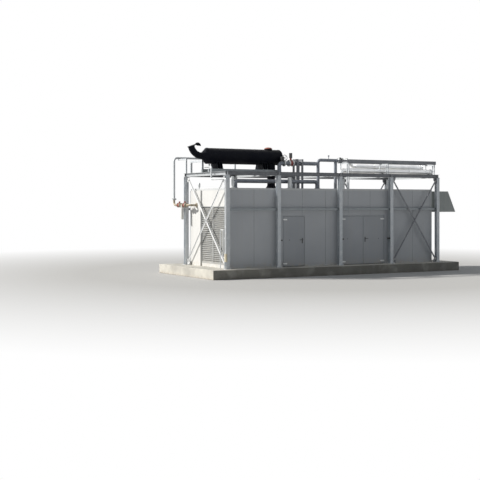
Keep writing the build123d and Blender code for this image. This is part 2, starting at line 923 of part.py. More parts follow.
# Condensate drain: from the silencer's underside over the end beam and down the corner column
drain_lift = silencer_radius - (silencer_radius**2 - drain_radius**2) ** 0.5
drain_route = [
    at(drain_start_x, silencer_y, silencer_level - silencer_radius + drain_lift),
    at(drain_start_x, silencer_y, drain_high),
    at(-drain_off, silencer_y, drain_high),
    at(-drain_off, drain_drop_y, drain_high),
    at(-drain_off, drain_drop_y, drain_low),
    at(-drain_off, -drain_off, drain_low),
    at(-drain_off, -drain_off, pot_top),
]
drain = pipe(drain_route, drain_radius, drain_bend)
drain -= along_silencer(body_start, body_end, silencer_radius)
pot_x = left - drain_off
pot_y = front - drain_off
clip_back = column_front + clip_grip / 2
for share in drain_clip_shares:
    z0 = deck + pot_top + (drain_low - pot_top) * share - clip_height / 2
    drain += block(pot_x - clip_grip, left, pot_y - clip_grip, clip_back, z0, z0 + clip_height)
save(drain, "condensate_drain")
pot_low = deck + pot_top - pot_height
pot = rod((pot_x, pot_y, pot_low), (pot_x, pot_y, deck + pot_top), pot_radius)
for level in (pot_low, deck + pot_top - pot_rim):
    pot += rod((pot_x, pot_y, level), (pot_x, pot_y, level + pot_rim), pot_radius + pot_rim_step)
save(pot, "water_seal")
siphon_level = pot_top - pot_height / 2
siphon_route = [
    at(-drain_off, pot_radius - drain_off, siphon_level),
    at(-drain_off, siphon_legs[0], siphon_level),
    at(-drain_off, siphon_legs[0], siphon_top),
    at(-drain_off, siphon_legs[1], siphon_top),
    at(-drain_off, siphon_legs[1], 0),
]
save(pipe(siphon_route, siphon_radius, siphon_bend), "siphon_pipe")

# Gas line: a rack pipe at the back left corner, a valve train and an elbow into the end wall
gas_route = [
    at(gas_run_end, gas_y, gas_high),
    at(gas_x, gas_y, gas_high),
    at(gas_x, gas_y, gas_low),
    at(gas_x, gas_entry_y, gas_low),
    at(wall_setback - cover_panel_thickness, gas_entry_y, gas_low),
]
gas = pipe(gas_route, gas_radius, gas_bend)
run_flange = Circle(gas_flange_radius)
for spot in PolarLocations(gas_bolt_circle / 2, bolt_count, start_angle=180 / bolt_count):
    run_flange -= spot * Circle(gas_bolt_hole)
run_end = at(gas_run_end - gas_flange_thickness, gas_y, gas_high)
run_plane = Plane(origin=run_end, x_dir=(0, 1, 0), z_dir=(1, 0, 0))
gas += extrude(run_plane * run_flange, amount=gas_flange_thickness)
wall_flange = gas_route[-1]
gas += rod((wall_flange[0] - gas_flange_thickness, *wall_flange[1:]), wall_flange, gas_flange_radius)
save(gas, "gas_pipe")

# Bracket arms from the back beam that carry the rack pipe
arms = []
arm_top = deck + gas_high - gas_radius
arm_end = front + gas_y + gas_flange_radius
half = arm_width / 2
for x in column_places[:2]:
    post = block(x - half, x + half, back_row - half, back_row + half, frame_top, arm_top)
    arm = block(x - half, x + half, back_row + half, arm_end, arm_top - arm_width, arm_top)
    arms.append(post + arm)
save(Compound(arms), "gas_supports")

# Two valves and a filter bowl on the low stretch
valves = []
for y in gas_valve_places:
    start = at(gas_x, y - gas_valve_half, gas_low)
    end = at(gas_x, y + gas_valve_half, gas_low)
    body = rod(start, end, gas_valve_radius)
    body += rod(at(gas_x, y, gas_low), at(gas_x, y, gas_low + 2 * gas_valve_radius), gas_valve_radius * 0.4)
    valves.append(body - rod(start, end, gas_radius))
save(Compound(valves), "gas_valves")
bowl = rod(at(gas_x, filter_y, gas_low), at(gas_x, filter_y, gas_low - filter_length), filter_radius)
bore_start = at(gas_x, filter_y - filter_radius, gas_low)
save(bowl - rod(bore_start, at(gas_x, filter_y + filter_radius, gas_low), gas_radius), "gas_filter")


# Coolant pipe: up from the roof, along past a valve, and down again in a loop of two legs
def collar(x, y, radius):
    """A flashing collar where a pipe goes through the roof."""
    foot = at(x, y, wall_height)
    return rod(foot, (foot[0], foot[1], foot[2] + collar_height), radius + collar_width)


reducer_end = at(loop_start - loop_radius, coolant_y, coolant_level)
reducer_start = (reducer_end[0] - reducer_length, *reducer_end[1:])
coolant_run = [
    at(coolant_start, coolant_y, wall_height),
    at(coolant_start, coolant_y, coolant_level),
    reducer_start,
]
coolant = pipe(coolant_run, coolant_radius, coolant_bend)
reducer_taper = degrees(atan2(coolant_radius - loop_radius, reducer_length))
reducer_face = Plane(origin=reducer_start, z_dir=(1, 0, 0)) * Circle(coolant_radius)
coolant += extrude(reducer_face, amount=reducer_length, taper=reducer_taper)
coolant += rod(reducer_end, at(loop_start, coolant_y, coolant_level), loop_radius)
tee_end = at(loop_end + loop_tee, coolant_y, loop_level)
loop_run = [at(loop_start, coolant_y, wall_height), at(loop_start, coolant_y, loop_level), tee_end]
coolant += pipe(loop_run, loop_radius, loop_bend)
last_leg = at(loop_end, coolant_y, wall_height)
coolant += rod(last_leg, at(loop_end, coolant_y, loop_level), loop_radius)
vent_top = loop_level + loop_radius + loop_vent_height
bleeder_low = at(loop_vent_place, coolant_y, vent_top - bleeder_height)
coolant += rod(at(loop_vent_place, coolant_y, loop_level), bleeder_low, loop_vent_radius)
coolant += rod(bleeder_low, at(loop_vent_place, coolant_y, vent_top), bleeder_radius)
coolant += collar(coolant_start, coolant_y, coolant_radius)
for x in (loop_start, loop_end):
    coolant += collar(x, coolant_y, loop_radius)
save(coolant, "coolant_pipe")


def cradle(x, y, level, radius, foot, width):
    """A square post with a round seat, from its foot up to the middle of the pipe on it."""
    x0, y0, z1 = at(x - width / 2, y - width / 2, level - radius * seat_share)
    post = block(x0, x0 + width, y0, y0 + width, foot, z1)
    return post - rod(at(x - width, y, level), at(x + width, y, level), radius)


def guide_frame(x):
    """A frame round the coolant pipe: two posts on the roof, a seat under it and a bar over it."""
    half = stand_width / 2
    inner = coolant_radius + stand_gap
    outer = inner + stand_width
    x0, y0, z1 = at(x - half, coolant_y - outer, coolant_level + coolant_radius + stand_head)
    x1, y1, _ = at(x + half, coolant_y + outer, 0)
    frame = block(x0, x1, y0, y1, wall_top, z1 + stand_width)
    frame -= block(x0, x1, y0 + stand_width, y1 - stand_width, wall_top, z1)
    seat_top = deck + coolant_level - coolant_radius * seat_share
    seat = block(x0, x1, y0 + stand_width, y1 - stand_width, seat_top - stand_width, seat_top)
    run = rod(at(x - half, coolant_y, coolant_level), at(x + half, coolant_y, coolant_level), coolant_radius)
    return frame + (seat - run)


column_marks = [x - left for x in column_places]
stands = [guide_frame(x) for x in stand_places]
for x in column_marks[3:]:
    stands.append(cradle(x, coolant_y, upper_level, clad_radius, frame_top, stand_width))
    stands.append(cradle(x, lower_y, lower_level, lower_radius, frame_top, stand_width))
save(Compound(stands), "pipe_stands")


def valve(x, level, bore, radius, rise):
    """A valve body round a pipe along X, with its neck."""
    start = at(x - valve_half_length, coolant_y, level)
    end = at(x + valve_half_length, coolant_y, level)
    body = rod(start, end, radius)
    body += rod(at(x, coolant_y, level), at(x, coolant_y, level + rise), neck_radius)
    return body - rod(start, end, bore)


def valve_head(x, low, height, radius):
    """The drum-shaped head on a valve's neck."""
    return rod(at(x, coolant_y, low), at(x, coolant_y, low + height), radius)


head_low = coolant_level + valve_rise
save(valve(coolant_valve_place, coolant_level, coolant_radius, valve_radius, valve_rise), "coolant_valve")
save(valve_head(coolant_valve_place, head_low, actuator_height, actuator_radius), "valve_actuator")
clad_valve = valve(clad_valve_place, loop_level, loop_radius, clad_valve_radius, clad_valve_rise)
cap_low = loop_level + clad_valve_rise - collar_height
save(clad_valve + valve_head(clad_valve_place, cap_low, collar_height, clad_valve_cap), "clad_pipe_valve")

# Handwheel valve on the coolant pipe: a gear case on top, its spindle and wheel to the front
x0, y0, z0 = at(wheel_place - gear_half, coolant_y - gear_half, coolant_level)
gear = block(x0, x0 + 2 * gear_half, y0, y0 + 2 * gear_half, z0, deck + wheel_level + gear_half)
bore_end = at(wheel_place + gear_half, coolant_y, coolant_level)
gear -= rod(at(wheel_place - gear_half, coolant_y, coolant_level), bore_end, coolant_radius)
hub_y = coolant_y - wheel_off
hub = at(wheel_place, hub_y, wheel_level)
hub_end = at(wheel_place, hub_y - spindle_end, wheel_level)
gear += rod(at(wheel_place, coolant_y - gear_half, wheel_level), hub_end, spoke_radius * 2)
gear += Plane(origin=hub, x_dir=(1, 0, 0), z_dir=(0, -1, 0)) * Torus(wheel_radius, wheel_rim)
for angle in (radians(45 + 90 * i) for i in range(4)):
    across = wheel_radius * cos(angle)
    gear += rod(hub, at(wheel_place + across, hub_y, wheel_level + wheel_radius * sin(angle)), spoke_radius)
save(gear, "handwheel_valve")


def bolted_flange(x, y, level, thickness):
    """A flange that ends a pipe along +X, with its bolt holes. x is its outer face."""
    plane = Plane(origin=at(x - thickness, y, level), x_dir=(0, 1, 0), z_dir=(1, 0, 0))
    ring = Circle(pipe_flange_radius)
    for spot in PolarLocations(bolt_circle / 2, bolt_count, start_angle=180 / bolt_count):
        ring -= spot * Circle(bolt_hole)
    return extrude(plane * ring, amount=thickness)


# Clad pipes: the upper from the end of the loop, the lower from the roof
pipes_end = frame_length + pipe_overhang
clad_end = pipes_end - clad_stop


def pipe_end(y, level):
    """The bare end of a clad pipe, with its flange."""
    bare = rod(at(clad_end, y, level), at(pipes_end, y, level), coolant_radius)
    return bare + bolted_flange(pipes_end, y, level, pipe_flange_thickness)


clad_from = at(clad_start, coolant_y, upper_level)
upper_route = [
    tee_end,
    at(jog_start, coolant_y, loop_level),
    at(jog_end, coolant_y, upper_level),
    clad_from,
]
upper = pipe(upper_route, loop_radius, jog_bend)
upper += rod(clad_from, at(clad_end, coolant_y, upper_level), clad_radius)
save(upper + pipe_end(coolant_y, upper_level), "upper_clad_pipe")

lower_route = [
    at(lower_start, lower_y, wall_height),
    at(lower_start, lower_y, lower_level),
    at(clad_end, lower_y, lower_level),
]
lower = pipe(lower_route, lower_radius, lower_bend)
for fat_start, fat_end in fat_stretches:
    lower += rod(at(fat_start, lower_y, lower_level), at(fat_end, lower_y, lower_level), fat_radius)
lower += collar(lower_start, lower_y, lower_radius)
save(lower + pipe_end(lower_y, lower_level), "lower_clad_pipe")

# Cable ladder on its posts
ladder_back_y = rack_front_y + ladder_depth


def rack_frame(x, foot):
    """Two close posts at the front and one at the back, under a bearer."""
    x0 = left + x - rack_post / 2
    x1 = x0 + rack_post
    top = deck + ladder_level
    frame = block(x0, x1, front + rack_front_y, front + ladder_back_y, top - rack_post, top)
    for y in (rack_front_y, rack_front_y + rack_pair, ladder_back_y - rack_post):
        on_cap = foot == wall_top and y < wall_setback + cap_cover
        post_foot = foot + cap_thickness if on_cap else foot
        frame += block(x0, x1, front + y, front + y + rack_post, post_foot, top)
    return frame


racks = [rack_frame(rack_start, wall_top)] + [rack_frame(x, frame_top) for x in column_marks[3:]]
save(Compound(racks), "rack_posts")
ladder_low = deck + ladder_level
ladder_x0 = left + ladder_start
side_y0 = front + rack_front_y
side_y1 = front + ladder_back_y - ladder_side
ladder_high = ladder_low + ladder_height
sides = [block(ladder_x0, right, y, y + ladder_side, ladder_low, ladder_high) for y in (side_y0, side_y1)]
save(Compound(sides), "cable_ladder")
rung_low = ladder_low + rung_height
rungs = []
for i in range(int((right - ladder_x0) / rung_pitch)):
    x0 = ladder_x0 + rung_pitch * (i + 0.5) - rung_width / 2
    rungs.append(block(x0, x0 + rung_width, side_y0 + ladder_side, side_y1, rung_low, rung_low + rung_height))
save(Compound(rungs), "ladder_rungs")

# Pipes between the roof and the frame
gap_route = [
    at(gap_pipe_start, gap_pipe_y, wall_height),
    at(gap_pipe_start, gap_pipe_y, gap_pipe_level),
    at(gap_pipe_end, gap_pipe_y, gap_pipe_level),
    at(gap_pipe_end, gap_pipe_y, wall_height),
]
gap_pipe = pipe(gap_route, gap_pipe_radius, gap_bend)
for x in (gap_pipe_start, gap_pipe_end):
    gap_pipe += collar(x, gap_pipe_y, gap_pipe_radius)
save(gap_pipe, "roof_crossover_pipe")
vents = []
stack_top = frame_height - beam_depth - stack_clearance
for x, y, radius in (vent_pipe, air_pipe):
    stack = rod(at(x, y, wall_height), at(x, y, stack_top), radius)
    vents.append(stack + collar(x, y, radius))
vent_foot = at(*edge_vent, wall_height + cap_thickness)
bell_low = (vent_foot[0], vent_foot[1], vent_foot[2] + edge_vent_lift)
bell_top = (vent_foot[0], vent_foot[1], vent_foot[2] + edge_vent_lift + edge_vent_height - edge_vent_radius)
bell = rod(bell_low, bell_top, edge_vent_radius) + Pos(*bell_top) * Sphere(edge_vent_radius)
vents.append(rod(vent_foot, bell_low, edge_vent_stem) + bell)
save(Compound(vents), "roof_stacks")

# Goalpost on the end beam
goal_x0 = column_places[0] - goal_width / 2
goal_x1 = goal_x0 + goal_width
goal_top = deck + goal_level + goal_width / 2
post_starts = [front + y - goal_width / 2 for y in goal_posts_y]
goal_end = post_starts[1] + goal_width
goal = block(goal_x0, goal_x1, post_starts[0], goal_end, goal_top - goal_width, goal_top)
for y0 in post_starts:
    goal += block(goal_x0, goal_x1, y0, y0 + goal_width, frame_top, goal_top)
save(goal, "pipe_goalpost")
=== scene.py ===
import bpy
import numpy as np
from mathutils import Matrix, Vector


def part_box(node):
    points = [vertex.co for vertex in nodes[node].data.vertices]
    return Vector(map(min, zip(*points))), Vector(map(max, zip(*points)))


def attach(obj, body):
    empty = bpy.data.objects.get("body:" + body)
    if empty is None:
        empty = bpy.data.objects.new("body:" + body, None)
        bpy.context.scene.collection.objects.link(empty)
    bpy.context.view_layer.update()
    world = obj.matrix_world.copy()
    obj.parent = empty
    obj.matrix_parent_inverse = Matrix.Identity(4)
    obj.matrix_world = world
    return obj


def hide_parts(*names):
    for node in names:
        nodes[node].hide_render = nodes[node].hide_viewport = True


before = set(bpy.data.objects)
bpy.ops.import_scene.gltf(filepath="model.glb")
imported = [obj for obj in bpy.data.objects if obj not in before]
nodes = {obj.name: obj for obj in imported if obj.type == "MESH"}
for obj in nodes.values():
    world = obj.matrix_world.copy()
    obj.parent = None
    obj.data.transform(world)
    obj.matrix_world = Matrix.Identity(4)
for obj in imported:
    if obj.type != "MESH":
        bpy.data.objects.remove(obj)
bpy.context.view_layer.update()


# Plinth
# One block of concrete, cast in board formwork on the ground. Its edges are struck off with a
# fillet strip, its faces keep the boards' joints, splashes darken it near the ground, and painted
# shade darkens its front.
def slab(low, high, bevel):
    """A block with bevelled edges, as its vertices and a list of face arrays. Each corner gives
    three vertices, one on each face that meets there, drawn in by the bevel along the other two
    axes."""
    low, high = np.minimum(low, high), np.maximum(low, high)
    signs = np.array([(i, j, k) for i in (0, 1) for j in (0, 1) for k in (0, 1)])
    corners = np.where(signs == 1, high, low)
    inward = np.where(signs == 1, -bevel, bevel)
    vertices = (corners[:, None] + inward[:, None] * (1 - np.eye(3))).reshape(-1, 3)
    number = np.arange(24).reshape(2, 2, 2, 3)
    quads = []
    for a in range(3):
        b, c = (a + 1) % 3, (a + 2) % 3
        face = np.moveaxis(number, (a, b, c), (0, 1, 2))
        for side in (0, 1):
            ring = [face[side, j, k, a] for j, k in ((0, 0), (1, 0), (1, 1), (0, 1))]
            quads.append(ring if side else ring[::-1])
            for other in (0, 1):
                edge = [face[side, other, 0, a], face[side, other, 1, a],
                        face[side, other, 1, b], face[side, other, 0, b]]
                quads.append(edge if side == other else edge[::-1])
    corner = number.reshape(8, 3)
    odd = signs.sum(axis=1) % 2 == 1
    triangles = np.where(odd[:, None], corner, corner[:, ::-1])
    return vertices, [np.array(quads), triangles]


def piece(name, shape, material, body="structure", smooth=None):
    """A piece of the object with its finish and the body that it moves with. smooth is
    the angle in degrees up to which its faces are shaded as one surface."""
    vertices, lists = shape
    mesh = bpy.data.meshes.new(name)
    mesh.from_pydata(vertices.tolist(), [], [face for faces in lists for face in faces.tolist()])
    if smooth:
        mesh.shade_smooth()
        mesh.set_sharp_from_angle(angle=np.radians(smooth))
    mesh.materials.append(material)
    obj = bpy.data.objects.new(name, mesh)
    bpy.context.scene.collection.objects.link(obj)
    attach(obj, body)
    return obj


def node(tree, kind, inputs, output=0, **settings):
    """Adds a shader node and gives its output. A socket is linked to an input, a number is set."""
    made = tree.nodes.new("ShaderNode" + kind)
    for key, value in settings.items():
        setattr(made, key, value)
    for key, value in inputs.items():
        if isinstance(value, bpy.types.NodeSocket):
            tree.links.new(value, made.inputs[key])
        else:
            made.inputs[key].default_value = value
    return made.outputs[output]


def ramp(tree, value, start, end, low=0.0, high=1.0):
    """Goes from low to high as the value goes from start to end, and no further."""
    ends = {"From Min": start, "From Max": end, "To Min": low, "To Max": high}
    return node(tree, "MapRange", {"Value": value, **ends})


def new_finish(name, roughness, metallic=0.0):
    """A new material with its roughness and metal share, and its place on the object in metres."""
    material = bpy.data.materials.new(name)
    material.use_nodes = True
    tree = material.node_tree
    shader = tree.nodes["Principled BSDF"]
    shader.inputs["Roughness"].default_value = roughness
    shader.inputs["Metallic"].default_value = metallic
    return material, tree, shader, tree.nodes.new("ShaderNodeTexCoord").outputs["Object"]


def clouds(tree, place, scale, low=0.35, high=0.65, detail=3.0, stretch=(1, 1, 1)):
    """Soft noise that runs from 0 to 1 as it goes from low to high."""
    place = node(tree, "Mapping", {"Vector": place, "Scale": stretch})
    value = node(tree, "TexNoise", {"Vector": place, "Scale": scale, "Detail": detail})
    return ramp(tree, value, low, high)


def tinted(tree, share, first, second):
    """The first colour turned to the second by a share from 0 to 1."""
    first = (*first, 1) if isinstance(first, tuple) else first
    second = (*second, 1) if isinstance(second, tuple) else second
    return node(tree, "Mix", {0: share, 6: first, 7: second}, output=2, data_type="RGBA")


def product(tree, first, second):
    """One value times the other."""
    return node(tree, "Math", {0: first, 1: second}, operation="MULTIPLY")


def axis_value(tree, place, axis):
    """One coordinate of the place on the object."""
    return node(tree, "SeparateXYZ", {0: place}, output="XYZ".index(axis))


def roughened(tree, shader, height, strength, distance):
    """Bump from a height, and nothing else."""
    bump = node(tree, "Bump", {"Height": height, "Strength": strength, "Distance": distance})
    tree.links.new(bump, shader.inputs["Normal"])


plinth_low, plinth_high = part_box("plinth")
deck = plinth_high[2]
board_length, fillet, damp_top = 2.5, 0.018, 0.14
concrete, tree, shader, place = new_finish("cast_concrete", 0.9)
grey = tinted(tree, clouds(tree, place, 1.3, detail=6.0), (0.40, 0.385, 0.35), (0.60, 0.58, 0.52))
stain = clouds(tree, place, 2.2, 0.5, 0.75, 5.0, stretch=(1, 1, 0.35))
grey = tinted(tree, product(tree, stain, 0.35), grey, (0.30, 0.28, 0.24))
damp = ramp(tree, axis_value(tree, place, "Z"), damp_top, 0.0)
damp = product(tree, damp, clouds(tree, place, 7.0, 0.3, 0.6))
grey = tinted(tree, product(tree, damp, 0.6), grey, (0.36, 0.30, 0.23))
# Painted shade: the front face is darkened nearly to black in cloudy patches, standing for shade.
front_y = plinth_low[1]
front_painted_shade = ramp(tree, axis_value(tree, place, "Y"), front_y + 0.012, front_y + 0.002)
front_painted_shade = product(tree, front_painted_shade, clouds(tree, place, 1.7, 0.1, 0.45, 5.0))
grey = tinted(tree, product(tree, front_painted_shade, 0.72), grey, (0.13, 0.125, 0.11))
pits = node(tree, "TexVoronoi", {"Vector": place, "Scale": 38.0})
pits = ramp(tree, pits, 0.05, 0.16)
grey = tinted(tree, pits, (0.40, 0.38, 0.34), grey)
tree.links.new(grey, shader.inputs["Base Color"])
along = axis_value(tree, place, "X")
joint_share = node(tree, "Math", {0: along, 1: board_length}, operation="PINGPONG")
joint_share = ramp(tree, joint_share, 0.0, 0.008)
height = product(tree, joint_share, product(tree, pits, clouds(tree, place, 24.0, 0.0, 1.0, 8.0)))
roughened(tree, shader, height, 0.6, 0.006)
plinth = piece("plinth_concrete", slab(plinth_low, plinth_high, fillet), concrete)
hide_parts("plinth")


# Steel frame
# H sections, hot-dip galvanised. The zinc is painted in copies of different tone for light and
# shade, darkest on the long beams as painted shade. The columns stand on base plates that are held
# by anchor bolts, and the beams are bolted down on cap plates, with stiffeners over them.
def joined(*shapes):
    """One shape from several: the faces' numbers move on by the count of vertices before them."""
    starts = np.cumsum([0] + [len(vertices) for vertices, _ in shapes])
    vertices = np.concatenate([vertices for vertices, _ in shapes])
    return vertices, [faces + start for (_, lists), start in zip(shapes, starts) for faces in lists]


def repeated(shape, places):
    """Copies of a shape: vertex i of copy j is the shape's vertex i moved by place j."""
    vertices, lists = shape
    places = np.asarray(places, float).reshape(-1, 3)
    starts = np.arange(len(places)) * len(vertices)
    moved = (vertices[None] + places[:, None]).reshape(-1, 3)
    return moved, [(f[None] + starts[:, None, None]).reshape(-1, f.shape[1]) for f in lists]


def turned(profile, sides):
    """A closed body of revolution about Z, from a profile of (radius, height) that goes up from
    one pole to the other. Point j of a ring lies at (r cos a, r sin a, h), a = 2 pi j / sides."""
    profile = np.asarray(profile, float)
    rings = profile[1:-1]
    angle = np.arange(sides) * 2 * np.pi / sides
    x = rings[:, :1] * np.cos(angle)
    y = rings[:, :1] * np.sin(angle)
    z = np.broadcast_to(rings[:, 1:], x.shape)
    poles = np.array([(0, 0, profile[0, 1]), (0, 0, profile[-1, 1])])
    vertices = np.concatenate([np.stack([x, y, z], -1).reshape(-1, 3), poles])
    j = np.arange(sides)
    k = (j + 1) % sides
    i = np.arange(len(rings) - 1)[:, None] * sides
    quads = np.stack([i + j, i + k, i + sides + k, i + sides + j], -1).reshape(-1, 4)
    last = len(rings) * sides
    bottom = np.stack([k, j, np.full(sides, last)], -1)
    top = np.stack([last - sides + j, last - sides + k, np.full(sides, last + 1)], -1)
    return vertices, [quads, bottom, top]


def aimed(shape, axis):
    """The shape turned so that its own Z runs along the axis: each vertex is the sum of its three
    coordinates times three unit vectors at right angles."""
    z = np.asarray(axis, float) / np.linalg.norm(axis)
    x = np.cross((0, 0, 1) if abs(z[2]) < 0.9 else (0, 1, 0), z)
    x /= np.linalg.norm(x)
    vertices, lists = shape
    return vertices @ np.array([x, np.cross(z, x), z]), lists


def shifted(shape, move):
    """The shape moved, without a turn."""
    return shape[0] + np.asarray(move, float), shape[1]


def hex_bolt(size, washer=2.1):
    """A hexagon head on a round washer. size is half the thread's diameter."""
    head = np.array([(0, 0), (1.8, 0), (1.8, 1.1), (1.5, 1.4), (0, 1.4)]) * size
    disc = np.array([(0, -0.3), (washer, -0.3), (washer, 0), (0, 0)]) * size
    return shifted(joined(turned(head, 6), turned(disc, 12)), (0, 0, 0.3 * size))


def dress(material, *names):
    """Gives carried-over pieces their finish."""
    for name in names:
        for held in nodes[name].material_slots:
            held.material = material


dust_colour = (0.60, 0.53, 0.42)


def dusted(tree, place, colour, amount=0.5):
    """The colour with wind-blown dust on the faces that look up."""
    up = axis_value(tree, node(tree, "NewGeometry", {}, output=1), "Z")
    up = ramp(tree, up, 0.6, 1.0)
    share = product(tree, product(tree, up, clouds(tree, place, 5.0, 0.3, 0.7)), amount)
    return tinted(tree, share, colour, dust_colour)


def zinc_coat(name, light, dark, patch):
    """Hot-dip zinc: spangle cells between two tones, with cloudy patches where it has dulled."""
    material, tree, shader, place = new_finish(name, 0.5, 0.2)
    cells = node(tree, "TexVoronoi", {"Vector": place, "Scale": 55.0}, output=1)
    spangle = node(tree, "SeparateColor", {0: cells})
    zinc = tinted(tree, product(tree, spangle, 0.6), light, dark)
    patches = clouds(tree, place, 3.5, 0.45, 0.7, 6.0)
    zinc = tinted(tree, product(tree, patches, 0.5), zinc, patch)
    tree.links.new(dusted(tree, place, zinc), shader.inputs["Base Color"])
    gloss = ramp(tree, spangle, 0.0, 1.0, 0.42, 0.6)
    tree.links.new(gloss, shader.inputs["Roughness"])
    roughened(tree, shader, clouds(tree, place, 160.0, 0.2, 0.8), 0.12, 0.0015)
    return material


galvanised = zinc_coat(
    "galvanised_steel", (0.56, 0.59, 0.62), (0.41, 0.45, 0.49), (0.72, 0.73, 0.74))
# Painted half shade: a mid-tone copy of the zinc for the cross beams.
zinc_in_painted_half_shade = zinc_coat(
    "galvanised_steel_painted_half_shade", (0.43, 0.45, 0.47), (0.32, 0.35, 0.37), (0.55, 0.56, 0.57))
# Painted deep shade: a near-black copy of the zinc for the long beams, side braces, ladder rails
# and guide frames.
zinc_in_painted_deep_shade = zinc_coat(
    "galvanised_steel_painted_deep_shade", (0.20, 0.21, 0.23), (0.13, 0.14, 0.16), (0.27, 0.28, 0.29))
# The columns take the plain zinc, the cross beams and long beams darker copies as painted shade.
dress(galvanised, "columns")
dress(zinc_in_painted_half_shade, "cross_beams")
dress(zinc_in_painted_deep_shade, "long_beams")

zinc_bolt, tree, shader, place = new_finish("zinc_plated_bolt", 0.38, 0.8)
plate = tinted(tree, clouds(tree, place, 40.0), (0.50, 0.51, 0.50), (0.66, 0.66, 0.63))
tree.links.new(plate, shader.inputs["Base Color"])

beam_low, beam_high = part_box("long_beams")
beam_under, beam_depth = beam_low[2], beam_high[2] - beam_low[2]
half_section, flange = 0.08, 0.009
column_x = np.array([beam_low[0] + half_section, -3.0, 0.08, 2.79, beam_high[0] - half_section])
row_y = np.array([beam_low[1] + half_section, beam_high[1] - half_section])
corners = np.array([(sx, sy, 0) for sx in (-1, 1) for sy in (-1, 1)])
feet = np.array([(x, y, deck + 0.02) for x in column_x for y in row_y])
anchor_rod = turned([(0, 0), (0.010, 0), (0.010, 0.045), (0.008, 0.048), (0, 0.048)], 12)
anchor = joined(hex_bolt(0.010), anchor_rod)
anchor_reach, plate_half = 0.095, 0.088
anchors = repeated(repeated(anchor, corners * anchor_reach), feet)
piece("anchor_bolts", anchors, zinc_bolt)

heads = np.array([(x, y, beam_under) for x in column_x for y in row_y])
cap_plate = slab((-plate_half, -plate_half, -0.012), (plate_half, plate_half, 0), 0.001)
cap_plates = repeated(cap_plate, heads)
stiffener_half = 0.0765
stiffener_low, stiffener_high = flange, beam_depth - flange
stiffener = joined(
    slab((-0.004, 0.003, stiffener_low), (0.004, stiffener_half, stiffener_high), 0.0008),
    slab((-0.004, -stiffener_half, stiffener_low), (0.004, -0.003, stiffener_high), 0.0008),
)
piece("cap_plates", joined(cap_plates, repeated(stiffener, heads)), galvanised)
spread = corners * (0.05, 0.058, 0)
cap_bolts = joined(
    repeated(repeated(hex_bolt(0.008), spread + (0, 0, flange)), heads),
    repeated(repeated(aimed(hex_bolt(0.008), (0, 0, -1)), spread - (0, 0, 0.012)), heads),
)
piece("cap_bolts", cap_bolts, zinc_bolt)


# Girt rails and bracing
# Channel rails between the columns over the doors, bolted to cleats, and crossed angles with
# corner gussets in the end bays. All are galvanised steel in copies of one zinc: the end's lighter
# as painted sunlight, the rails' and the long sides' darker as painted shade.
# Painted shade: a darker copy of the zinc for the girt rails and the silencer rails.
zinc_in_painted_shade = zinc_coat(
    "galvanised_steel_painted_shade", (0.31, 0.34, 0.36), (0.22, 0.25, 0.27), (0.40, 0.42, 0.43))
# Painted sunlight: a lighter copy of the zinc for the end braces.
zinc_in_painted_sunlight = zinc_coat(
    "galvanised_steel_painted_sunlight", (0.72, 0.73, 0.74), (0.60, 0.62, 0.64), (0.78, 0.79, 0.79))
dress(zinc_in_painted_sunlight, "end_braces")
dress(zinc_in_painted_shade, "girt_rails")
dress(zinc_in_painted_deep_shade, "side_braces")
rails_low, rails_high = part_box("girt_rails")
rail_z = (rails_low[2] + rails_high[2]) / 2
cleat_inset, rail_inset, cleat_reach = 0.013, 0.04, 0.055
cleat_bolts = []
for x0, x1 in zip(column_x, column_x[1:]):
    for x, way in ((x0 + cleat_inset, 1), (x1 - cleat_inset, -1)):
        for y in (row_y[0] + rail_inset, row_y[1] - rail_inset):
            for lift in (-cleat_reach, cleat_reach):
                cleat_bolts.append((x, y, rail_z + lift, way))
cleat_bolts = np.array(cleat_bolts)
rail_bolts = joined(*[
    repeated(aimed(hex_bolt(0.007), (way, 0, 0)), cleat_bolts[cleat_bolts[:, 3] == way, :3])
    for way in (-1, 1)
])
piece("rail_bolts", rail_bolts, zinc_bolt)

side_low, side_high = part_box("side_braces")
end_low, end_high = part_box("end_braces")
brace_foot = side_low[2]
gusset_inset, near_stand, far_stand = 0.0874, 0.013, 0.005
bolt_steps = np.array([0.025, 0.065, 0.105])


def panel_bolts(origin, along, facing, span):
    """Bolts on both faces of a braced panel's corner gussets. Each row starts at the inset corner
    and steps along its diagonal, whose heads are on the side that it lies on."""
    origin, along, facing = (np.array(vector, float) for vector in (origin, along, facing))
    up = np.array((0, 0, 1.0))
    height = beam_under - brace_foot
    run, rise = span - 2 * gusset_inset, height - 2 * gusset_inset
    steps = bolt_steps[:, None] / np.hypot(run, rise)
    shapes = []
    for side, start in ((1, 0), (-1, 1)):
        for flip in (0, 1):
            share = flip + (1 - 2 * flip) * steps
            level = (1 - 2 * start) * share + start
            across, lift = gusset_inset + run * share, gusset_inset + rise * level
            places = origin + along * across + up * lift
            for way, stand in ((side, near_stand), (-side, far_stand)):
                head = aimed(hex_bolt(0.008), facing * way)
                shapes.append(repeated(head, places + facing * way * stand))
    return joined(*shapes)


side_x, side_span, side_stand = side_low[0], side_high[0] - side_low[0], 0.025
end_span = end_high[1] - end_low[1]
braced_panels = [
    panel_bolts((side_x, row_y[0] - side_stand, brace_foot), (1, 0, 0), (0, -1, 0), side_span),
    panel_bolts((side_x, row_y[1] + side_stand, brace_foot), (1, 0, 0), (0, -1, 0), side_span),
    panel_bolts((column_x[0], end_low[1], brace_foot), (0, 1, 0), (1, 0, 0), end_span),
]
piece("gusset_bolts", joined(*braced_panels), zinc_bolt)


# Enclosure walls
# Sandwich panels of coated sheet on a foam core, joined tongue and groove with a dark seal in
# the joint, flashed at the corners, along the foot and over the top edge.
(wall_left, wall_front, _), (wall_right, _, wall_top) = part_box("front_wall")
wall_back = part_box("back_wall")[1][1]
panel_width = 1.17
splash_height = 0.45


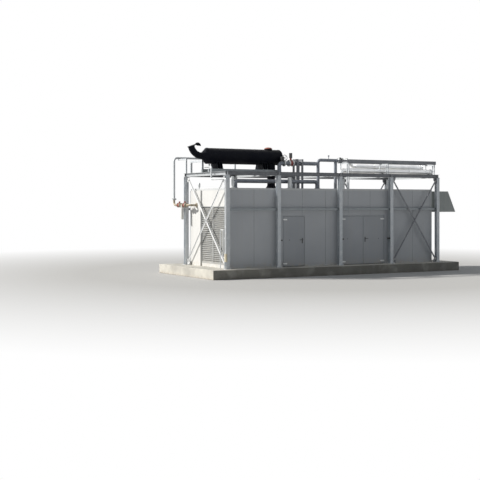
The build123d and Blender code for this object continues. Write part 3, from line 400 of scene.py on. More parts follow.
def coated(name, light, dark, roughness, jointed=False):
    """Coated sheet: tone that changes a little from panel to panel, faint rain streaks, dust on
    what looks up, splashes over the plinth, and a dark line at each joint along X."""
    material, tree, shader, place = new_finish(name, roughness)
    colour = tinted(tree, clouds(tree, place, 0.9, 0.3, 0.7, 4.0), light, dark)
    streaks = clouds(tree, place, 1.0, 0.5, 0.8, 5.0, stretch=(9, 9, 0.35))
    colour = tinted(tree, product(tree, streaks, 0.22), colour, (0.45, 0.43, 0.38))
    splash_top = deck + splash_height
    near = ramp(tree, axis_value(tree, place, "Z"), splash_top, deck)
    splash = product(tree, product(tree, near, near), clouds(tree, place, 6.0, 0.35, 0.7, 6.0))
    colour = tinted(tree, product(tree, splash, 0.55), colour, (0.50, 0.43, 0.33))
    colour = dusted(tree, place, colour)
    if jointed:
        along = axis_value(tree, place, "X")
        along = node(tree, "Math", {0: along, 1: wall_left}, operation="SUBTRACT")
        index = node(tree, "Math", {0: along, 1: panel_width}, operation="DIVIDE")
        index = node(tree, "Math", {0: index}, operation="FLOOR")
        tone = node(tree, "TexWhiteNoise", {"W": index}, noise_dimensions="1D")
        colour = tinted(tree, product(tree, tone, 0.3), colour, dark)
        away = node(tree, "Math", {0: along, 1: panel_width / 2}, operation="PINGPONG")
        clear = ramp(tree, away, 0.003, 0.007)
        colour = tinted(tree, clear, (0.22, 0.225, 0.23), colour)
    tree.links.new(colour, shader.inputs["Base Color"])
    roughened(tree, shader, clouds(tree, place, 1.6, 0.0, 1.0, 1.0), 0.25, 0.004)
    return material


# Painted light and shade: the long walls take a darker copy of one coat as shade, the end walls,
# cover panel, roof and filter bowl a lighter copy as sunlight.
side_panel_coat_painted_shade = coated("side_panel_coat_painted_shade", (0.48, 0.50, 0.525), (0.43, 0.45, 0.48), 0.42, True)
end_coat_painted_sunlight = coated("end_panel_coat_painted_sunlight", (0.66, 0.66, 0.65), (0.59, 0.59, 0.58), 0.42)
flashing_coat = coated("flashing_coat", (0.58, 0.59, 0.60), (0.51, 0.53, 0.54), 0.38)
dress(side_panel_coat_painted_shade, "front_wall", "walls_over_doors", "back_wall")
dress(end_coat_painted_sunlight, "left_end_wall_sides", "left_end_wall_middle", "cover_panel")
dress(end_coat_painted_sunlight, "right_end_wall_middle", "right_end_wall_sides", "roof_panel")
dress(flashing_coat, "wall_cap")

trim, proud, buried, trim_bevel = 0.07, 0.0015, 0.0005, 0.0004
cover_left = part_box("cover_panel")[0][0]
trims = []
for x, y, x_way, y_way in (
    (wall_left, wall_front, 1, 1), (wall_right, wall_front, -1, 1),
    (cover_left, wall_back, 1, -1), (wall_right, wall_back, -1, -1),
):
    x0, y0 = x - x_way * proud, y - y_way * proud
    low, high = deck, wall_top - 0.08
    trims.append(slab((x0, y0, low), (x + x_way * trim, y + y_way * buried, high), trim_bevel))
    trims.append(slab((x0, y0, low), (x + x_way * buried, y + y_way * trim, high), trim_bevel))
foot_top, foot_proud, foot_bevel = deck + 0.06, 0.003, 0.0006
frames_low, frames_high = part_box("door_frames")
single_x, double_x = (frames_low[0], -1.579), (0.255, frames_high[0])
for x0, x1 in ((wall_left, single_x[0]), (single_x[1], double_x[0]), (double_x[1], wall_right)):
    trims.append(slab((x0, wall_front - foot_proud, deck), (x1, wall_front, foot_top), foot_bevel))
back_edge, right_edge = wall_back + foot_proud, wall_right + foot_proud
trims.append(slab((wall_left, wall_back, deck), (wall_right, back_edge, foot_top), foot_bevel))
trims.append(slab((wall_right, wall_front, deck), (right_edge, wall_back, foot_top), foot_bevel))
piece("corner_trims", joined(*trims), flashing_coat)

screw = turned([(0, 0), (0.008, 0), (0.008, 0.002), (0.005, 0.004), (0, 0.004)], 8)
screw_z = wall_top - 0.045
long_run = np.arange(wall_left + 0.25, wall_right, 0.5)
short_run = np.arange(wall_front + 0.2, wall_back, 0.49)
cap_face = 0.004
cap_screws = joined(
    repeated(aimed(screw, (0, -1, 0)), [(x, wall_front - cap_face, screw_z) for x in long_run]),
    repeated(aimed(screw, (0, 1, 0)), [(x, wall_back + cap_face, screw_z) for x in long_run]),
    repeated(aimed(screw, (-1, 0, 0)), [(wall_left - cap_face, y, screw_z) for y in short_run]),
    repeated(aimed(screw, (1, 0, 0)), [(wall_right + cap_face, y, screw_z) for y in short_run]),
)
piece("cap_screws", cap_screws, zinc_bolt)


# Louvre
# Two banks of folded aluminium blades in a grey coat, darker than the end wall partly for the
# blades' own grey and partly as painted shade from the gaps between them, in a frame with one
# mullion, screwed into the left end wall.
louvre_coat_with_painted_shade = coated("louvre_coat_with_painted_shade", (0.40, 0.41, 0.41), (0.34, 0.35, 0.35), 0.38)
dress(louvre_coat_with_painted_shade, "louvre_frame", "louvre_bank_left", "louvre_bank_right")
grille_low, grille_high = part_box("louvre_frame")
screw_y = np.linspace(grille_low[1] + 0.022, grille_high[1] - 0.022, 6)
screw_rise = np.linspace(grille_low[2] + 0.022, grille_high[2] - 0.022, 8)
frame_screws = [(grille_low[0], y, z) for y in screw_y for z in (screw_rise[0], screw_rise[-1])]
frame_screws += [(grille_low[0], y, z) for z in screw_rise[1:-1] for y in (screw_y[0], screw_y[-1])]
piece("louvre_screws", repeated(aimed(screw, (-1, 0, 0)), frame_screws), zinc_bolt)


# Weather hood
# Folded sheet on the right end wall, open underneath, with lapped seams down its slanting face
# and cheeks and a row of rivets along the wall.
hood_coat = coated("hood_coat", (0.32, 0.345, 0.34), (0.27, 0.295, 0.29), 0.4)
dress(hood_coat, "end_hood")
hood_low, hood_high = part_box("end_hood")
hood_edge, hem_gap = wall_right + 0.96, 0.02


def seam_strip(y, half=0.02, lift=0.003):
    """A lapped seam over the hood's top and down its slanting face, at one place across it. Its
    section goes along the sheet's outline, stops a share of the slant short of the hem, and comes
    back at the lap's height over it."""
    hem, top = hood_low[2], hood_high[2]
    sheet = np.array([(wall_right, top), (hood_edge, top), (hood_high[0], hem)])
    sheet[2] += hem_gap * (sheet[1] - sheet[2])
    section = np.concatenate([sheet, (sheet + [(0, lift), (lift, lift), (lift, 0)])[::-1]])
    front = np.insert(section, 1, y - half, axis=1)
    back = np.insert(section, 1, y + half, axis=1)
    count = len(section)
    i = np.arange(count)
    k = (i + 1) % count
    sides = np.stack([i, k, k + count, i + count], -1)
    return np.concatenate([front, back]), [sides[:, ::-1], i[None], (i[::-1] + count)[None]]


cheek_seam_x = 5.98
rivet = turned([(0, 0), (0.007, 0), (0.006, 0.002), (0.003, 0.0035), (0, 0.0035)], 8)
cheek_rivets = np.arange(hood_low[2] + 0.08, hood_high[2] - 0.03, 0.12)
cheeks = []
for y, way in ((hood_low[1], -1), (hood_high[1], 1)):
    lap_y = y + way * 0.002
    strip_low = (cheek_seam_x - 0.02, y, hood_low[2] + 0.01)
    strip_high = (cheek_seam_x + 0.02, lap_y, hood_high[2] - 0.004)
    cheeks.append(slab(strip_low, strip_high, 0.0006))
    for x in (wall_right + 0.03, cheek_seam_x):
        cheeks.append(repeated(aimed(rivet, (0, way, 0)), [(x, lap_y, z) for z in cheek_rivets]))
    wall_strip_high = (wall_right + 0.05, lap_y, hood_high[2])
    cheeks.append(slab((wall_right, y, hood_low[2]), wall_strip_high, 0.0006))
cheeks += [seam_strip(y) for y in np.linspace(hood_low[1], hood_high[1], 4)[1:-1]]
piece("hood_seams", joined(*cheeks), hood_coat)


# Doors
# Flat steel leaves in steel frames, flush with the wall's outer face. Each hangs on two bright
# strap hinges, closes on a rubber seal, and has a stud that its column's catch holds when open.
door_coat = coated("door_coat", (0.38, 0.40, 0.43), (0.34, 0.36, 0.39), 0.36)
strap_steel, tree, shader, place = new_finish("bright_hinge_steel", 0.35, 0.1)
bright = tinted(tree, clouds(tree, place, 25.0), (0.92, 0.92, 0.91), (0.80, 0.81, 0.81))
tree.links.new(bright, shader.inputs["Base Color"])
roughened(tree, shader, clouds(tree, place, 200.0, 0.2, 0.8), 0.1, 0.001)
lever_black, tree, shader, place = new_finish("black_lever", 0.42)
worn = tinted(tree, clouds(tree, place, 30.0, 0.4, 0.7), (0.022, 0.022, 0.024), (0.06, 0.06, 0.06))
tree.links.new(worn, shader.inputs["Base Color"])
roughened(tree, shader, clouds(tree, place, 400.0, 0.2, 0.8), 0.15, 0.0005)
seal_rubber, tree, shader, place = new_finish("seal_rubber", 0.8)
rubber = tinted(tree, clouds(tree, place, 20.0), (0.03, 0.03, 0.03), (0.07, 0.07, 0.065))
tree.links.new(rubber, shader.inputs["Base Color"])
dress(door_coat, "door_frames")
dress(lever_black, "door_catches")

hinge_levels = deck + np.array([0.13, 1.96])
strap_half, strap_plate, strap_reach = 0.028, 0.006, 0.19
strap_bolts = (0.05, 0.11, 0.165)
pin_y, pin_gap = wall_front - 0.013, 0.004
lever_z, lever_inset, lever_reach, stud_reach = deck + 1.11, 0.095, 0.14, 0.29


def half_round_plate(reach, half, thickness, bevel=0.0015):
    """A flat bar in the XZ plane from the origin to a round end: a rectangle's two corners, then
    points on a half circle, drawn at both faces, with a rim between that the bevel draws in."""
    way = np.sign(reach)
    angle = np.linspace(np.pi / 2, -np.pi / 2, 13)
    outline = np.concatenate([
        [(0, -half), (0, half)],
        np.stack([reach - way * half + way * half * np.cos(angle), half * np.sin(angle)], -1),
    ])
    centre = outline.mean(axis=0)
    inner = centre + (outline - centre) * (1 - bevel / half)
    count = len(outline)
    rings = [(outline, 0.0), (outline, -thickness + bevel), (inner, -thickness)]
    vertices = np.concatenate([np.insert(ring, 1, y, axis=1) for ring, y in rings])
    i = np.arange(count)
    k = (i + 1) % count
    steps = ((0, count), (count, 2 * count))
    walls = [np.stack([i + a, k + a, k + b, i + b], -1) for a, b in steps]
    faces = walls + [i[None, ::-1], (i + 2 * count)[None]]
    if way < 0:
        faces = [face[:, ::-1] for face in faces]
    return vertices, faces


def strap_pair(pin_x, way):
    """Two straps with their knuckles and bolts, for a leaf that reaches from its pins by way."""
    bar = half_round_plate(way * strap_reach, strap_half, strap_plate)
    knuckle = turned([(0, -strap_half), (0.009, -strap_half), (0.01, -strap_half + 0.001),
                      (0.01, strap_half - 0.001), (0.009, strap_half), (0, strap_half)], 24)
    places = [(way * reach, -strap_plate, 0) for reach in strap_bolts]
    heads = repeated(aimed(hex_bolt(0.0045, 1.9), (0, -1, 0)), places)
    one = joined(shifted(joined(bar, heads), (0, wall_front - pin_y, 0)), knuckle)
    return shifted(repeated(one, [(0, 0, z) for z in hinge_levels]), (pin_x, pin_y, 0))


for name, pin_x, way, handle in (
    ("single_door", -2.656, 1, True),
    ("double_door_left", 0.299, 1, False),
    ("double_door_right", 2.531, -1, True),
):
    body = name + "_leaf"
    leaf_low, leaf_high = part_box(name)
    hinge_edge = pin_x + way * pin_gap
    free_edge = leaf_high[0] if way > 0 else leaf_low[0]
    skin = slab((hinge_edge, wall_front, leaf_low[2]), (free_edge, *leaf_high[1:]), 0.003)
    skin = piece(name + "_skin", skin, door_coat, body)
    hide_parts(name)
    piece(name + "_straps", strap_pair(pin_x, way), strap_steel, body, 40)
    stud = turned([(0, 0), (0.016, 0), (0.016, 0.011), (0.013, 0.014), (0, 0.014)], 24)
    parts = [shifted(aimed(stud, (0, -1, 0)), (hinge_edge + way * stud_reach, wall_front, lever_z))]
    if handle:
        free_x = free_edge - way * lever_inset
        plate_y, tip_x = wall_front - 0.008, free_x - way * lever_reach
        plate_low = (free_x - 0.023, plate_y, lever_z - 0.143)
        plate = slab(plate_low, (free_x + 0.023, wall_front, lever_z + 0.077), 0.004)
        hub = [(0, 0), (0.017, 0), (0.015, 0.012), (0.011, 0.018), (0.011, 0.04), (0, 0.04)]
        hub = turned(hub, 24)
        grip_start = (free_x + way * 0.012, wall_front - 0.062, lever_z - 0.01)
        grip = slab(grip_start, (tip_x, wall_front - 0.048, lever_z + 0.01), 0.0045)
        back_start = (free_x - way * 0.124, wall_front - 0.052, lever_z - 0.009)
        back = slab(back_start, (tip_x, wall_front - 0.03, lever_z + 0.009), 0.004)
        lock = turned([(0, 0), (0.012, 0), (0.011, 0.005), (0, 0.005)], 24)
        parts += [
            plate, grip, back,
            shifted(aimed(hub, (0, -1, 0)), (free_x, plate_y, lever_z)),
            shifted(aimed(lock, (0, -1, 0)), (free_x, plate_y, lever_z - 0.085)),
        ]
    piece(name + "_lever", joined(*parts), lever_black, body, 40)


def seal_frame(x0, x1):
    """Four rubber strips round a doorway, behind the leaves' edges."""
    reach, y0, y1 = 0.018, wall_front + 0.063, wall_front + 0.075
    low, high = deck, deck + 2.088
    return joined(
        slab((x0, y0, low), (x0 + reach, y1, high), 0.002),
        slab((x1 - reach, y0, low), (x1, y1, high), 0.002),
        slab((x0 + reach, y0, high - reach), (x1 - reach, y1, high), 0.002),
        slab((x0 + reach, y0, low), (x1 - reach, y1, low + 0.022), 0.002),
    )


doorways = (-2.66, -1.619), (0.295, 2.535)
seals = joined(*[seal_frame(*doorway) for doorway in doorways])
piece("door_seals", seals, seal_rubber)


# Silencer
# A welded drum of black heat-resistant steel with a cone, two end bands and a dished end, on
# saddles that are bolted to two galvanised rails. A relief dome in red-brown primer sits on its
# far end.
black_heat, tree, shader, place = new_finish("black_heat_paint", 0.5)
shader.inputs["Specular IOR Level"].default_value = 0.06
soot = clouds(tree, place, 2.0, 0.3, 0.7, 5.0)
soot = tinted(tree, soot, (0.004, 0.005, 0.010), (0.010, 0.011, 0.015))
rust = product(tree, clouds(tree, place, 14.0, 0.62, 0.72, 6.0), 0.2)
soot = tinted(tree, rust, soot, (0.06, 0.045, 0.035))
tree.links.new(dusted(tree, place, soot, 0.05), shader.inputs["Base Color"])
gloss = ramp(tree, clouds(tree, place, 6.0), 0.0, 1.0, 0.42, 0.62)
tree.links.new(gloss, shader.inputs["Roughness"])
roughened(tree, shader, clouds(tree, place, 60.0, 0.2, 0.8, 4.0), 0.18, 0.002)
dress(black_heat, "silencer_saddles")
# The rails take the darker zinc copy, painted shade.
dress(zinc_in_painted_shade, "silencer_rails")

drum_low, drum_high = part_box("silencer")
drum_radius, dish_depth, cone_length, neck_rise = 0.33, 0.11, 0.22, 0.03
axis_y, axis_z = (drum_low[1] + drum_high[1]) / 2, drum_high[2] - neck_rise - drum_radius
cone_tip, drum_end = drum_low[0], drum_high[0] - dish_depth
drum_start = cone_tip + cone_length


def weld_bead(place, radius, height=0.004):
    """Three profile points that make a low weld bead."""
    return [(radius, place - 0.008), (radius + height, place), (radius, place + 0.008)]


bead_places = (-4.25, -3.1)
dish_angle = np.linspace(0, np.pi / 2, 14)[1:-1]
drum_profile = [(0, cone_tip), (0.1365, cone_tip)]
drum_profile += [(0.1405, cone_tip + 0.006), (0.1445, cone_tip + 0.016)]
drum_profile += [(0.329, drum_start - 0.001), (0.334, drum_start), (0.338, drum_start + 0.004)]
drum_profile += [(0.338, drum_start + 0.056), (0.334, drum_start + 0.06)]
drum_profile += [(0.33, drum_start + 0.061)]
for bead_x in bead_places:
    drum_profile += weld_bead(bead_x, drum_radius)
drum_profile += [(0.33, drum_end - 0.061), (0.334, drum_end - 0.06), (0.338, drum_end - 0.056)]
drum_profile += [(0.338, drum_end - 0.004), (0.334, drum_end), (0.33, drum_end + 0.002)]
drum_profile += [
    (drum_radius * np.cos(a), drum_end + dish_depth * np.sin(a)) for a in dish_angle]
drum_profile += [(0, drum_end + dish_depth)]
drum = shifted(aimed(turned(drum_profile, 96), (1, 0, 0)), (0, axis_y, axis_z))
dome_low, dome_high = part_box("relief_dome")
dome_x, neck_top = (dome_low[0] + dome_high[0]) / 2, dome_low[2]
neck = turned([(0, -0.2), (0.17, -0.2), (0.17, -0.012), (0.178, -0.012), (0.178, 0), (0, 0)], 64)
drum = joined(drum, shifted(neck, (dome_x, axis_y, neck_top)))
silencer_skin = piece("silencer_drum", drum, black_heat, smooth=25)
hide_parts("silencer")

red_primer, tree, shader, place = new_finish("red_brown_primer", 0.6)
primer = clouds(tree, place, 9.0, 0.3, 0.7, 5.0)
primer = tinted(tree, primer, (0.34, 0.085, 0.055), (0.24, 0.075, 0.05))
tree.links.new(dusted(tree, place, primer, 0.3), shader.inputs["Base Color"])
roughened(tree, shader, clouds(tree, place, 90.0, 0.2, 0.8), 0.2, 0.001)
cap_radius, cap_rim = (dome_high[0] - dome_low[0]) / 2, 0.012
cap_rise = dome_high[2] - neck_top
cap_angle = np.linspace(0, np.pi / 2, 12)[1:-1]
cap_profile = [(0, 0), (cap_radius, 0), (cap_radius, cap_rim)]
cap_profile += [
    (cap_radius * 0.96 * np.cos(a), cap_rim + (cap_rise - cap_rim) * np.sin(a)) for a in cap_angle]
cap_profile += [(0, cap_rise)]
dome = shifted(turned(cap_profile, 64), (dome_x, axis_y, neck_top))
dome = piece("relief_cap", dome, red_primer, smooth=35)
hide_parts("relief_dome")

rail_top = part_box("silencer_rails")[1][2]
saddle_x, foot_reach, foot_spread, foot_height = (-4.935, -2.755), 0.1, 0.335, 0.01
saddle_bolts = [
    (x + dx, axis_y + dy, rail_top)
    for x in saddle_x for dx in (-foot_reach, foot_reach) for dy in (-foot_spread, foot_spread)
]
lug_foot = slab((-0.03, -0.03, 0), (0.03, 0.03, foot_height), 0.001)
piece("saddle_feet", repeated(lug_foot, saddle_bolts), black_heat)
saddle_bolts = repeated(hex_bolt(0.008), np.array(saddle_bolts) + (0, 0, foot_height))
piece("saddle_bolts", saddle_bolts, zinc_bolt)


# Exhaust riser and outlet
# The riser comes up through the roof in a lagged casing that is held by straps, and the outlet is
# an open elbow with a rim. Its rain flap hangs on lugs and is balanced by a weight on an arm.
def hoop(section, sides=48):
    """A closed ring about Z, from a closed section of (radius, height) that goes up outside and
    down inside. Both directions of its grid close on themselves."""
    section = np.asarray(section, float)
    angle = np.arange(sides) * 2 * np.pi / sides
    x = section[:, :1] * np.cos(angle)
    y = section[:, :1] * np.sin(angle)
    z = np.broadcast_to(section[:, 1:], x.shape)
    rows = len(section)
    i = np.arange(rows)[:, None] * sides
    up = (np.arange(rows)[:, None] + 1) % rows * sides
    j = np.arange(sides)
    k = (j + 1) % sides
    quads = np.stack([i + j, i + k, up + k, up + j], -1).reshape(-1, 4)
    return np.stack([x, y, z], -1).reshape(-1, 3), [quads]


def circle_of(count, radius):
    """Places evenly round a circle about Z, the first turned by half their pitch."""
    angle = (np.arange(count) + 0.5) * 2 * np.pi / count
    return np.stack([radius * np.cos(angle), radius * np.sin(angle), np.zeros(count)], -1)


def strap_ring(radius, width, thickness=0.003):
    """A thin band round a pipe."""
    outer, inner, half = radius + thickness, radius - 0.001, width / 2
    return hoop([(outer, -half), (outer, half), (inner, half), (inner, -half)])


dress(black_heat, "exhaust_elbow", "rain_flap", "exhaust_riser")
riser_x, skirt_z, collar_z, flange_z = -2.28, 3.662, 3.664, 4.394
band_levels = (3.80, 4.02, 4.24, 4.5)
riser_bands = repeated(strap_ring(0.17, 0.03), [(riser_x, axis_y, z) for z in band_levels])
collar_places = circle_of(12, 0.197) + (riser_x, axis_y, collar_z)
collar_bolts = repeated(hex_bolt(0.007), collar_places)
flange_bolts = repeated(hex_bolt(0.007), circle_of(12, 0.19) + (riser_x, axis_y, flange_z))
skirt = [(0, 0), (0.245, 0), (0.245, 0.004), (0.176, 0.11), (0.176, 0.15), (0, 0.15)]
skirt = shifted(turned(skirt, 64), (riser_x, axis_y, skirt_z))
piece("riser_bands", joined(riser_bands, skirt), black_heat, smooth=40)
piece("riser_bolts", joined(collar_bolts, flange_bolts), zinc_bolt)

turn = np.radians(75)
elbow_radius = 0.48


def on_elbow(angle):
    """A place on the elbow's centre line and the way that the gas flows there."""
    away, rise = elbow_radius * np.sin(angle), elbow_radius * (1 - np.cos(angle))
    return (cone_tip - away, axis_y, axis_z + rise), (-np.cos(angle), 0, np.sin(angle))


bead = hoop([(0.1405, -0.006), (0.1405, 0.006), (0.135, 0.007), (0.135, -0.007)])
beads = []
for angle in (0.012, turn / 3, 2 * turn / 3, turn):
    spot, flow = on_elbow(angle)
    beads.append(shifted(aimed(bead, flow), spot))
piece("elbow_welds", joined(*beads), black_heat, smooth=50)


# Condensate drain
# Galvanised pipe from the silencer over the end beam and down the corner column, on clips, into a
# cream plastic water seal with a thin overflow pipe beside it.
pipe_zinc, tree, shader, place = new_finish("galvanised_pipe", 0.42, 0.4)
tone = tinted(tree, clouds(tree, place, 6.0, 0.3, 0.7, 5.0), (0.66, 0.68, 0.69), (0.53, 0.56, 0.58))
tree.links.new(dusted(tree, place, tone), shader.inputs["Base Color"])
roughened(tree, shader, clouds(tree, place, 120.0, 0.2, 0.8), 0.12, 0.001)
dress(pipe_zinc, "condensate_drain", "siphon_pipe")

pot_x, pot_y, pot_top = -5.53, -2.175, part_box("water_seal")[1][2]
seal_cream, tree, shader, place = new_finish("cream_plastic", 0.45)
cream = tinted(tree, clouds(tree, place, 12.0, 0.3, 0.7), (0.80, 0.74, 0.56), (0.68, 0.60, 0.43))
tree.links.new(cream, shader.inputs["Base Color"])
roughened(tree, shader, clouds(tree, place, 150.0, 0.2, 0.8), 0.08, 0.0006)
pot_profile = [(0, -0.32), (0.05, -0.32), (0.061, -0.312), (0.061, -0.3), (0.055, -0.297)]
pot_profile += [(0.055, -0.03), (0.061, -0.022), (0.061, -0.004), (0.057, 0), (0.036, 0), (0, 0)]
pot = shifted(turned(pot_profile, 48), (pot_x, pot_y, pot_top))
pot = piece("seal_pot", pot, seal_cream, smooth=35)
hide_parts("water_seal")
union = turned([(0, 0), (0.042, 0), (0.044, 0.004), (0.044, 0.036), (0.042, 0.04), (0, 0.04)], 8)
drop_union_z, level_union = 2.05, (pot_x, -1.7, 4.0)
unions = joined(
    repeated(union, [(pot_x, pot_y, pot_top), (pot_x, pot_y, drop_union_z)]),
    shifted(aimed(union, (0, 1, 0)), level_union),
)
piece("drain_unions", unions, pipe_zinc)


# Gas line
# Galvanised rack pipe on bracket arms, flanged down to a low stretch in tan paint, which has two
# red valves and a cream filter bowl and enters the cover panel through a flange.
tan_top = 3.16
gas_paint, tree, shader, place = new_finish("gas_pipe_paint", 0.42, 0.15)
zinc_tone = clouds(tree, place, 6.0, 0.3, 0.7, 5.0)
zinc_tone = tinted(tree, zinc_tone, (0.62, 0.64, 0.66), (0.50, 0.53, 0.56))
tan_tone = clouds(tree, place, 8.0, 0.3, 0.7, 5.0)
tan_tone = tinted(tree, tan_tone, (0.40, 0.34, 0.25), (0.30, 0.26, 0.19))
upper_share = ramp(tree, axis_value(tree, place, "Z"), tan_top, tan_top + 0.01)
tone = tinted(tree, upper_share, tan_tone, zinc_tone)
tree.links.new(dusted(tree, place, tone), shader.inputs["Base Color"])
roughened(tree, shader, clouds(tree, place, 120.0, 0.2, 0.8), 0.12, 0.001)
dress(gas_paint, "gas_pipe")
dress(end_coat_painted_sunlight, "gas_filter")
dress(galvanised, "gas_supports")


def paint(name, light, dark, roughness):
    """Gloss paint on cast metal, a little chalky where it has weathered."""
    material, tree, shader, place = new_finish(name, roughness)
    colour = tinted(tree, clouds(tree, place, 12.0, 0.35, 0.7, 5.0), light, dark)
    tree.links.new(dusted(tree, place, colour, 0.35), shader.inputs["Base Color"])
    roughened(tree, shader, clouds(tree, place, 150.0, 0.2, 0.8), 0.2, 0.0008)
    return material


valve_red = paint("red_valve_paint", (0.30, 0.045, 0.035), (0.20, 0.04, 0.035), 0.38)
dress(valve_red, "gas_valves")


def flange_pair(outer, thickness, pitch_radius, count, size, gap=0.003):
    """Two flanges face to face on a pipe along Z, with a gasket's gap and bolts through both."""
    edge, rim = outer - 0.001, thickness - 0.001
    disc = [(0, 0), (edge, 0), (outer, 0.001), (outer, rim), (edge, thickness), (0, thickness)]
    one = turned(disc, 48)
    pair = joined(shifted(one, (0, 0, gap / 2)), shifted(one, (0, 0, -thickness - gap / 2)))
    face = thickness + gap / 2
    heads = joined(
        repeated(hex_bolt(size), circle_of(count, pitch_radius) + (0, 0, face)),
        repeated(aimed(hex_bolt(size), (0, 0, -1)), circle_of(count, pitch_radius) - (0, 0, face)),
    )
    return pair, heads


gas_x, gas_y, gas_high, gas_low = -5.63, 2.375, 5.0, 2.94
drop_z, rack_x, valve_faces, wall_face = 3.2, -4.2, (1.945, 1.725, 1.415, 1.195), (-5.31, 0.875)
gas_pair, gas_heads = flange_pair(0.1, 0.02, 0.08, 8, 0.008)
gas_discs, gas_bolts = [], []
gas_spots = [((gas_x, gas_y, drop_z), (0, 0, 1)), ((rack_x, gas_y, gas_high), (1, 0, 0))]
gas_spots += [((gas_x, y, gas_low), (0, 1, 0)) for y in valve_faces]
for spot, axis in gas_spots:
    gas_discs.append(shifted(aimed(gas_pair, axis), spot))
    gas_bolts.append(shifted(aimed(gas_heads, axis), spot))
piece("gas_flanges", joined(*gas_discs), gas_paint, smooth=40)
wall_circle = circle_of(8, 0.08)[:, [2, 0, 1]] + (*wall_face, gas_low)
wall_bolts = repeated(aimed(hex_bolt(0.007), (-1, 0, 0)), wall_circle)
piece("gas_flange_bolts", joined(*gas_bolts, wall_bolts), zinc_bolt)


# Coolant pipe
# Galvanised pipe in a darker tone that is painted shade. It runs through two guide frames, which
# take the near-black zinc copy as painted shade, and climbs in a thinner loop with a vent on it. It
# carries a handwheel valve, a red valve with a black actuator, and a black valve on the loop, all
# bolted in between flanges.
pipe_in_painted_shade, tree, shader, place = new_finish("galvanised_pipe_painted_shade", 0.5, 0.2)
tone = clouds(tree, place, 5.0, 0.3, 0.7, 5.0)
tone = tinted(tree, tone, (0.25, 0.27, 0.31), (0.18, 0.20, 0.235))
tree.links.new(dusted(tree, place, tone, 0.4), shader.inputs["Base Color"])
roughened(tree, shader, clouds(tree, place, 120.0, 0.2, 0.8), 0.12, 0.001)
dress(pipe_in_painted_shade, "coolant_pipe")
dress(zinc_in_painted_deep_shade, "pipe_stands")
valve_black = paint("black_valve_paint", (0.03, 0.03, 0.033), (0.06, 0.06, 0.06), 0.4)
dress(valve_red, "coolant_valve")
dress(valve_black, "valve_actuator", "clad_pipe_valve", "handwheel_valve")
coolant_y, coolant_z, loop_z = -0.775, 4.74, 4.905
discs, heads = [], []
for (pair, pair_heads), z, stations in (
    (flange_pair(0.1425, 0.022, 0.12, 8, 0.010), coolant_z, (-1.945, -1.70, -1.508)),
    (flange_pair(0.125, 0.02, 0.105, 8, 0.008), loop_z, (0.874, 1.066, 1.30)),
):
    places = [(x, coolant_y, z) for x in stations]
    discs.append(repeated(aimed(pair, (1, 0, 0)), places))
    heads.append(repeated(aimed(pair_heads, (1, 0, 0)), places))
piece("pipe_flanges", joined(*discs), pipe_zinc, smooth=40)
piece("pipe_flange_bolts", joined(*heads), zinc_bolt)


# Clad pipes
# Two lagged pipes clad in aluminium sheet, with a lap at each joint. U-bolts hold them on square
# posts over the frame, and the coolant pipe in its guide frames.
cladding, tree, shader, place = new_finish("aluminium_cladding", 0.34, 0.9)
sheet = clouds(tree, place, 3.0, 0.3, 0.7, 4.0)
sheet = tinted(tree, sheet, (0.86, 0.87, 0.88), (0.72, 0.74, 0.76))
tree.links.new(dusted(tree, place, sheet, 0.35), shader.inputs["Base Color"])
roughened(tree, shader, clouds(tree, place, 5.0, 0.0, 1.0, 2.0), 0.3, 0.006)
dress(cladding, "upper_clad_pipe", "lower_clad_pipe")
upper_z, lower_y, lower_z = 4.655, -1.425, 4.44
lap_width, upper_radius, thin_radius, thick_radius = 0.028, 0.115, 0.098, 0.12
laps = []
for radius, y, z, stations in (
    (upper_radius, coolant_y, upper_z, (1.8, 2.55, 3.5, 4.45, 5.28)),
    (thick_radius, lower_y, lower_z, (1.056, 1.63, 2.204, 4.266, 5.294)),
    (thin_radius, lower_y, lower_z, (3.15,)),
):
    ring = aimed(strap_ring(radius, lap_width), (1, 0, 0))
    laps.append(repeated(ring, [(x, y, z) for x in stations]))
piece("cladding_laps", joined(*laps), cladding, smooth=40)


def u_bolt(pipe_radius, rod_radius=0.006):
    """A U-bolt over a pipe along X: a rod's round section carried over half a circle and down two
    legs. Station i of the path and point j of the section give the vertex path i plus the
    section's two parts along the path's normal and X."""
    reach = pipe_radius + rod_radius
    angle = np.linspace(0, np.pi, 25)
    path = np.stack([reach * np.cos(angle), reach * np.sin(angle)], -1)
    path = np.concatenate([[(reach, -pipe_radius * 0.5)], path, [(-reach, -pipe_radius * 0.5)]])
    normal = np.stack([np.cos(angle), np.sin(angle)], -1)
    normal = np.concatenate([[(1, 0)], normal, [(-1, 0)]])
    round_angle = np.arange(10) * 2 * np.pi / 10
    out, side = rod_radius * np.cos(round_angle), rod_radius * np.sin(round_angle)
    y = path[:, :1] + normal[:, :1] * out
    z = path[:, 1:] + normal[:, 1:] * out
    x = np.broadcast_to(side, y.shape)
    rows, columns = y.shape
    i = np.arange(rows - 1)[:, None] * columns
    j = np.arange(columns)
    k = (j + 1) % columns
    quads = np.stack([i + columns + j, i + columns + k, i + k, i + j], -1).reshape(-1, 4)
    last = j[::-1] + (rows - 1) * columns
    return np.stack([x, y, z], -1).reshape(-1, 3), [quads, j[None], last[None]]


clamps = [shifted(u_bolt(0.085), (x, coolant_y, coolant_z)) for x in (-1.36, -1.11)]
for x in column_x[3:]:
    clamps.append(shifted(u_bolt(upper_radius), (x, coolant_y, upper_z)))
    clamps.append(shifted(u_bolt(thin_radius), (x, lower_y, lower_z)))
piece("pipe_clamps", joined(*clamps), zinc_bolt, smooth=50)
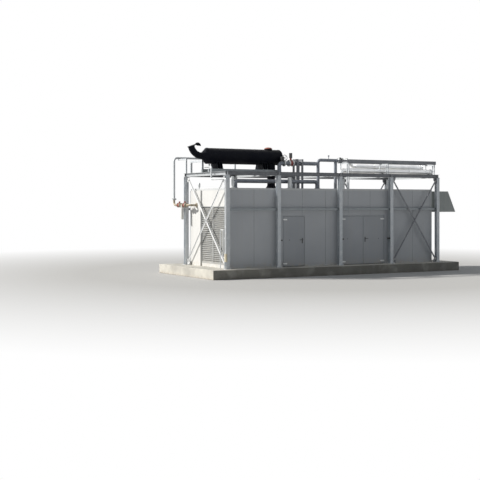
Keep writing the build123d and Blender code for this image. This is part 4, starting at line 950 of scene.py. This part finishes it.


# Cable ladder
# Two deep side rails with rolled lips, of galvanised steel painted dark as shade, and brighter flat
# rungs between them, bolted to bearers on square posts.
dress(galvanised, "rack_posts", "ladder_rungs")
dress(zinc_in_painted_deep_shade, "cable_ladder")
ladder_low, ladder_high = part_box("cable_ladder")
lips = []
for y, way in ((ladder_low[1], 1), (ladder_high[1], -1)):
    for z, lift in ((ladder_low[2], 0.004), (ladder_high[2], -0.004)):
        start = (ladder_low[0], y + way * 0.02, z)
        lips.append(slab(start, (ladder_high[0], y + way * 0.05, z + lift), 0.0006))
piece("ladder_lips", joined(*lips), zinc_in_painted_deep_shade)
rack_start = 0.67
side_bolts = []
for x in (rack_start, *column_x[3:]):
    for y in (ladder_low[1] + 0.035, ladder_high[1] - 0.035):
        side_bolts.append((x, y, ladder_low[2] + 0.004))
piece("ladder_bolts", repeated(hex_bolt(0.006), side_bolts), zinc_bolt)


# Crossover pipe, stacks and goalpost
# Galvanised pipes that come up through collars in the roof, a vent with a bell on the edge of the
# left end wall, and a goalpost of square section on the end beam.
# The crossover pipe takes the darker pipe tone, painted shade.
dress(pipe_in_painted_shade, "roof_crossover_pipe")
dress(pipe_zinc, "roof_stacks")
dress(galvanised, "pipe_goalpost")


# Studio
# A pale floor that fades to white away from the object, one soft lamp high on the left and behind,
# an even sky, and the camera where the photograph was taken from.
def lit_white(tree, surface, share):
    """The surface turned to plain white by a share, and only for what looks at it, not for what
    it lights."""
    rays = tree.nodes.new("ShaderNodeLightPath").outputs
    seen = rays["Is Camera Ray"]
    for ray in ("Is Glossy Ray", "Is Transmission Ray"):
        seen = node(tree, "Math", {0: seen, 1: rays[ray]}, operation="MAXIMUM")
    kind = "Emission" if tree.nodes.get("Material Output") else "Background"
    white = node(tree, kind, {0: (1, 1, 1, 1)})
    return node(tree, "MixShader", {0: product(tree, seen, share), 1: surface, 2: white})


ground = bpy.data.materials.new("studio_floor")
ground.use_nodes = True
tree = ground.node_tree
shader = tree.nodes["Principled BSDF"]
shader.inputs["Base Color"].default_value = (0.46, 0.457, 0.45, 1)
shader.inputs["Roughness"].default_value = 0.9
place = tree.nodes.new("ShaderNodeTexCoord").outputs["Object"]
reach = node(tree, "VectorMath", {0: place}, output=1, operation="LENGTH")
fade = ramp(tree, reach, 10.0, 26.0)
mixed = lit_white(tree, shader.outputs[0], fade)
tree.links.new(mixed, tree.nodes["Material Output"].inputs["Surface"])
floor_mesh = bpy.data.meshes.new("floor")
half_floor = 250.0
floor_corners = np.array([(-1, -1, 0), (1, -1, 0), (1, 1, 0), (-1, 1, 0)]) * half_floor
floor_mesh.from_pydata(floor_corners.tolist(), [], [(0, 1, 2, 3)])
floor_mesh.materials.append(ground)
floor = bpy.data.objects.new("floor", floor_mesh)
bpy.context.scene.collection.objects.link(floor)

world = bpy.data.worlds.new("studio_sky")
world.use_nodes = True
bpy.context.scene.world = world
tree = world.node_tree
sky = tree.nodes["Background"]
sky.inputs["Color"].default_value = (0.86, 0.93, 1.0, 1)
sky.inputs["Strength"].default_value = 0.26
mixed = lit_white(tree, sky.outputs[0], 1.0)
tree.links.new(mixed, tree.nodes["World Output"].inputs["Surface"])

lamp_data = bpy.data.lights.new("studio_lamp", "SUN")
lamp_data.energy = 5.1
lamp_data.angle = np.radians(4)
lamp_data.color = (1.0, 0.97, 0.92)
lamp = bpy.data.objects.new("studio_lamp", lamp_data)
lamp.rotation_euler = (np.radians(-25.6), np.radians(-53.1), 0)
bpy.context.scene.collection.objects.link(lamp)

camera_data = bpy.data.cameras.new("camera")
camera_data.lens = 76.2
camera_data.sensor_width = 36.0
camera_data.shift_y = -0.075
camera_data.clip_end = 600.0
camera = bpy.data.objects.new("camera", camera_data)
camera.location = (-24.84, -37.735, 2.99)
camera.rotation_euler = (np.radians(90), 0, np.radians(-29.3))
bpy.context.scene.collection.objects.link(camera)
bpy.context.scene.camera = camera
bpy.context.scene.view_settings.view_transform = "Standard"
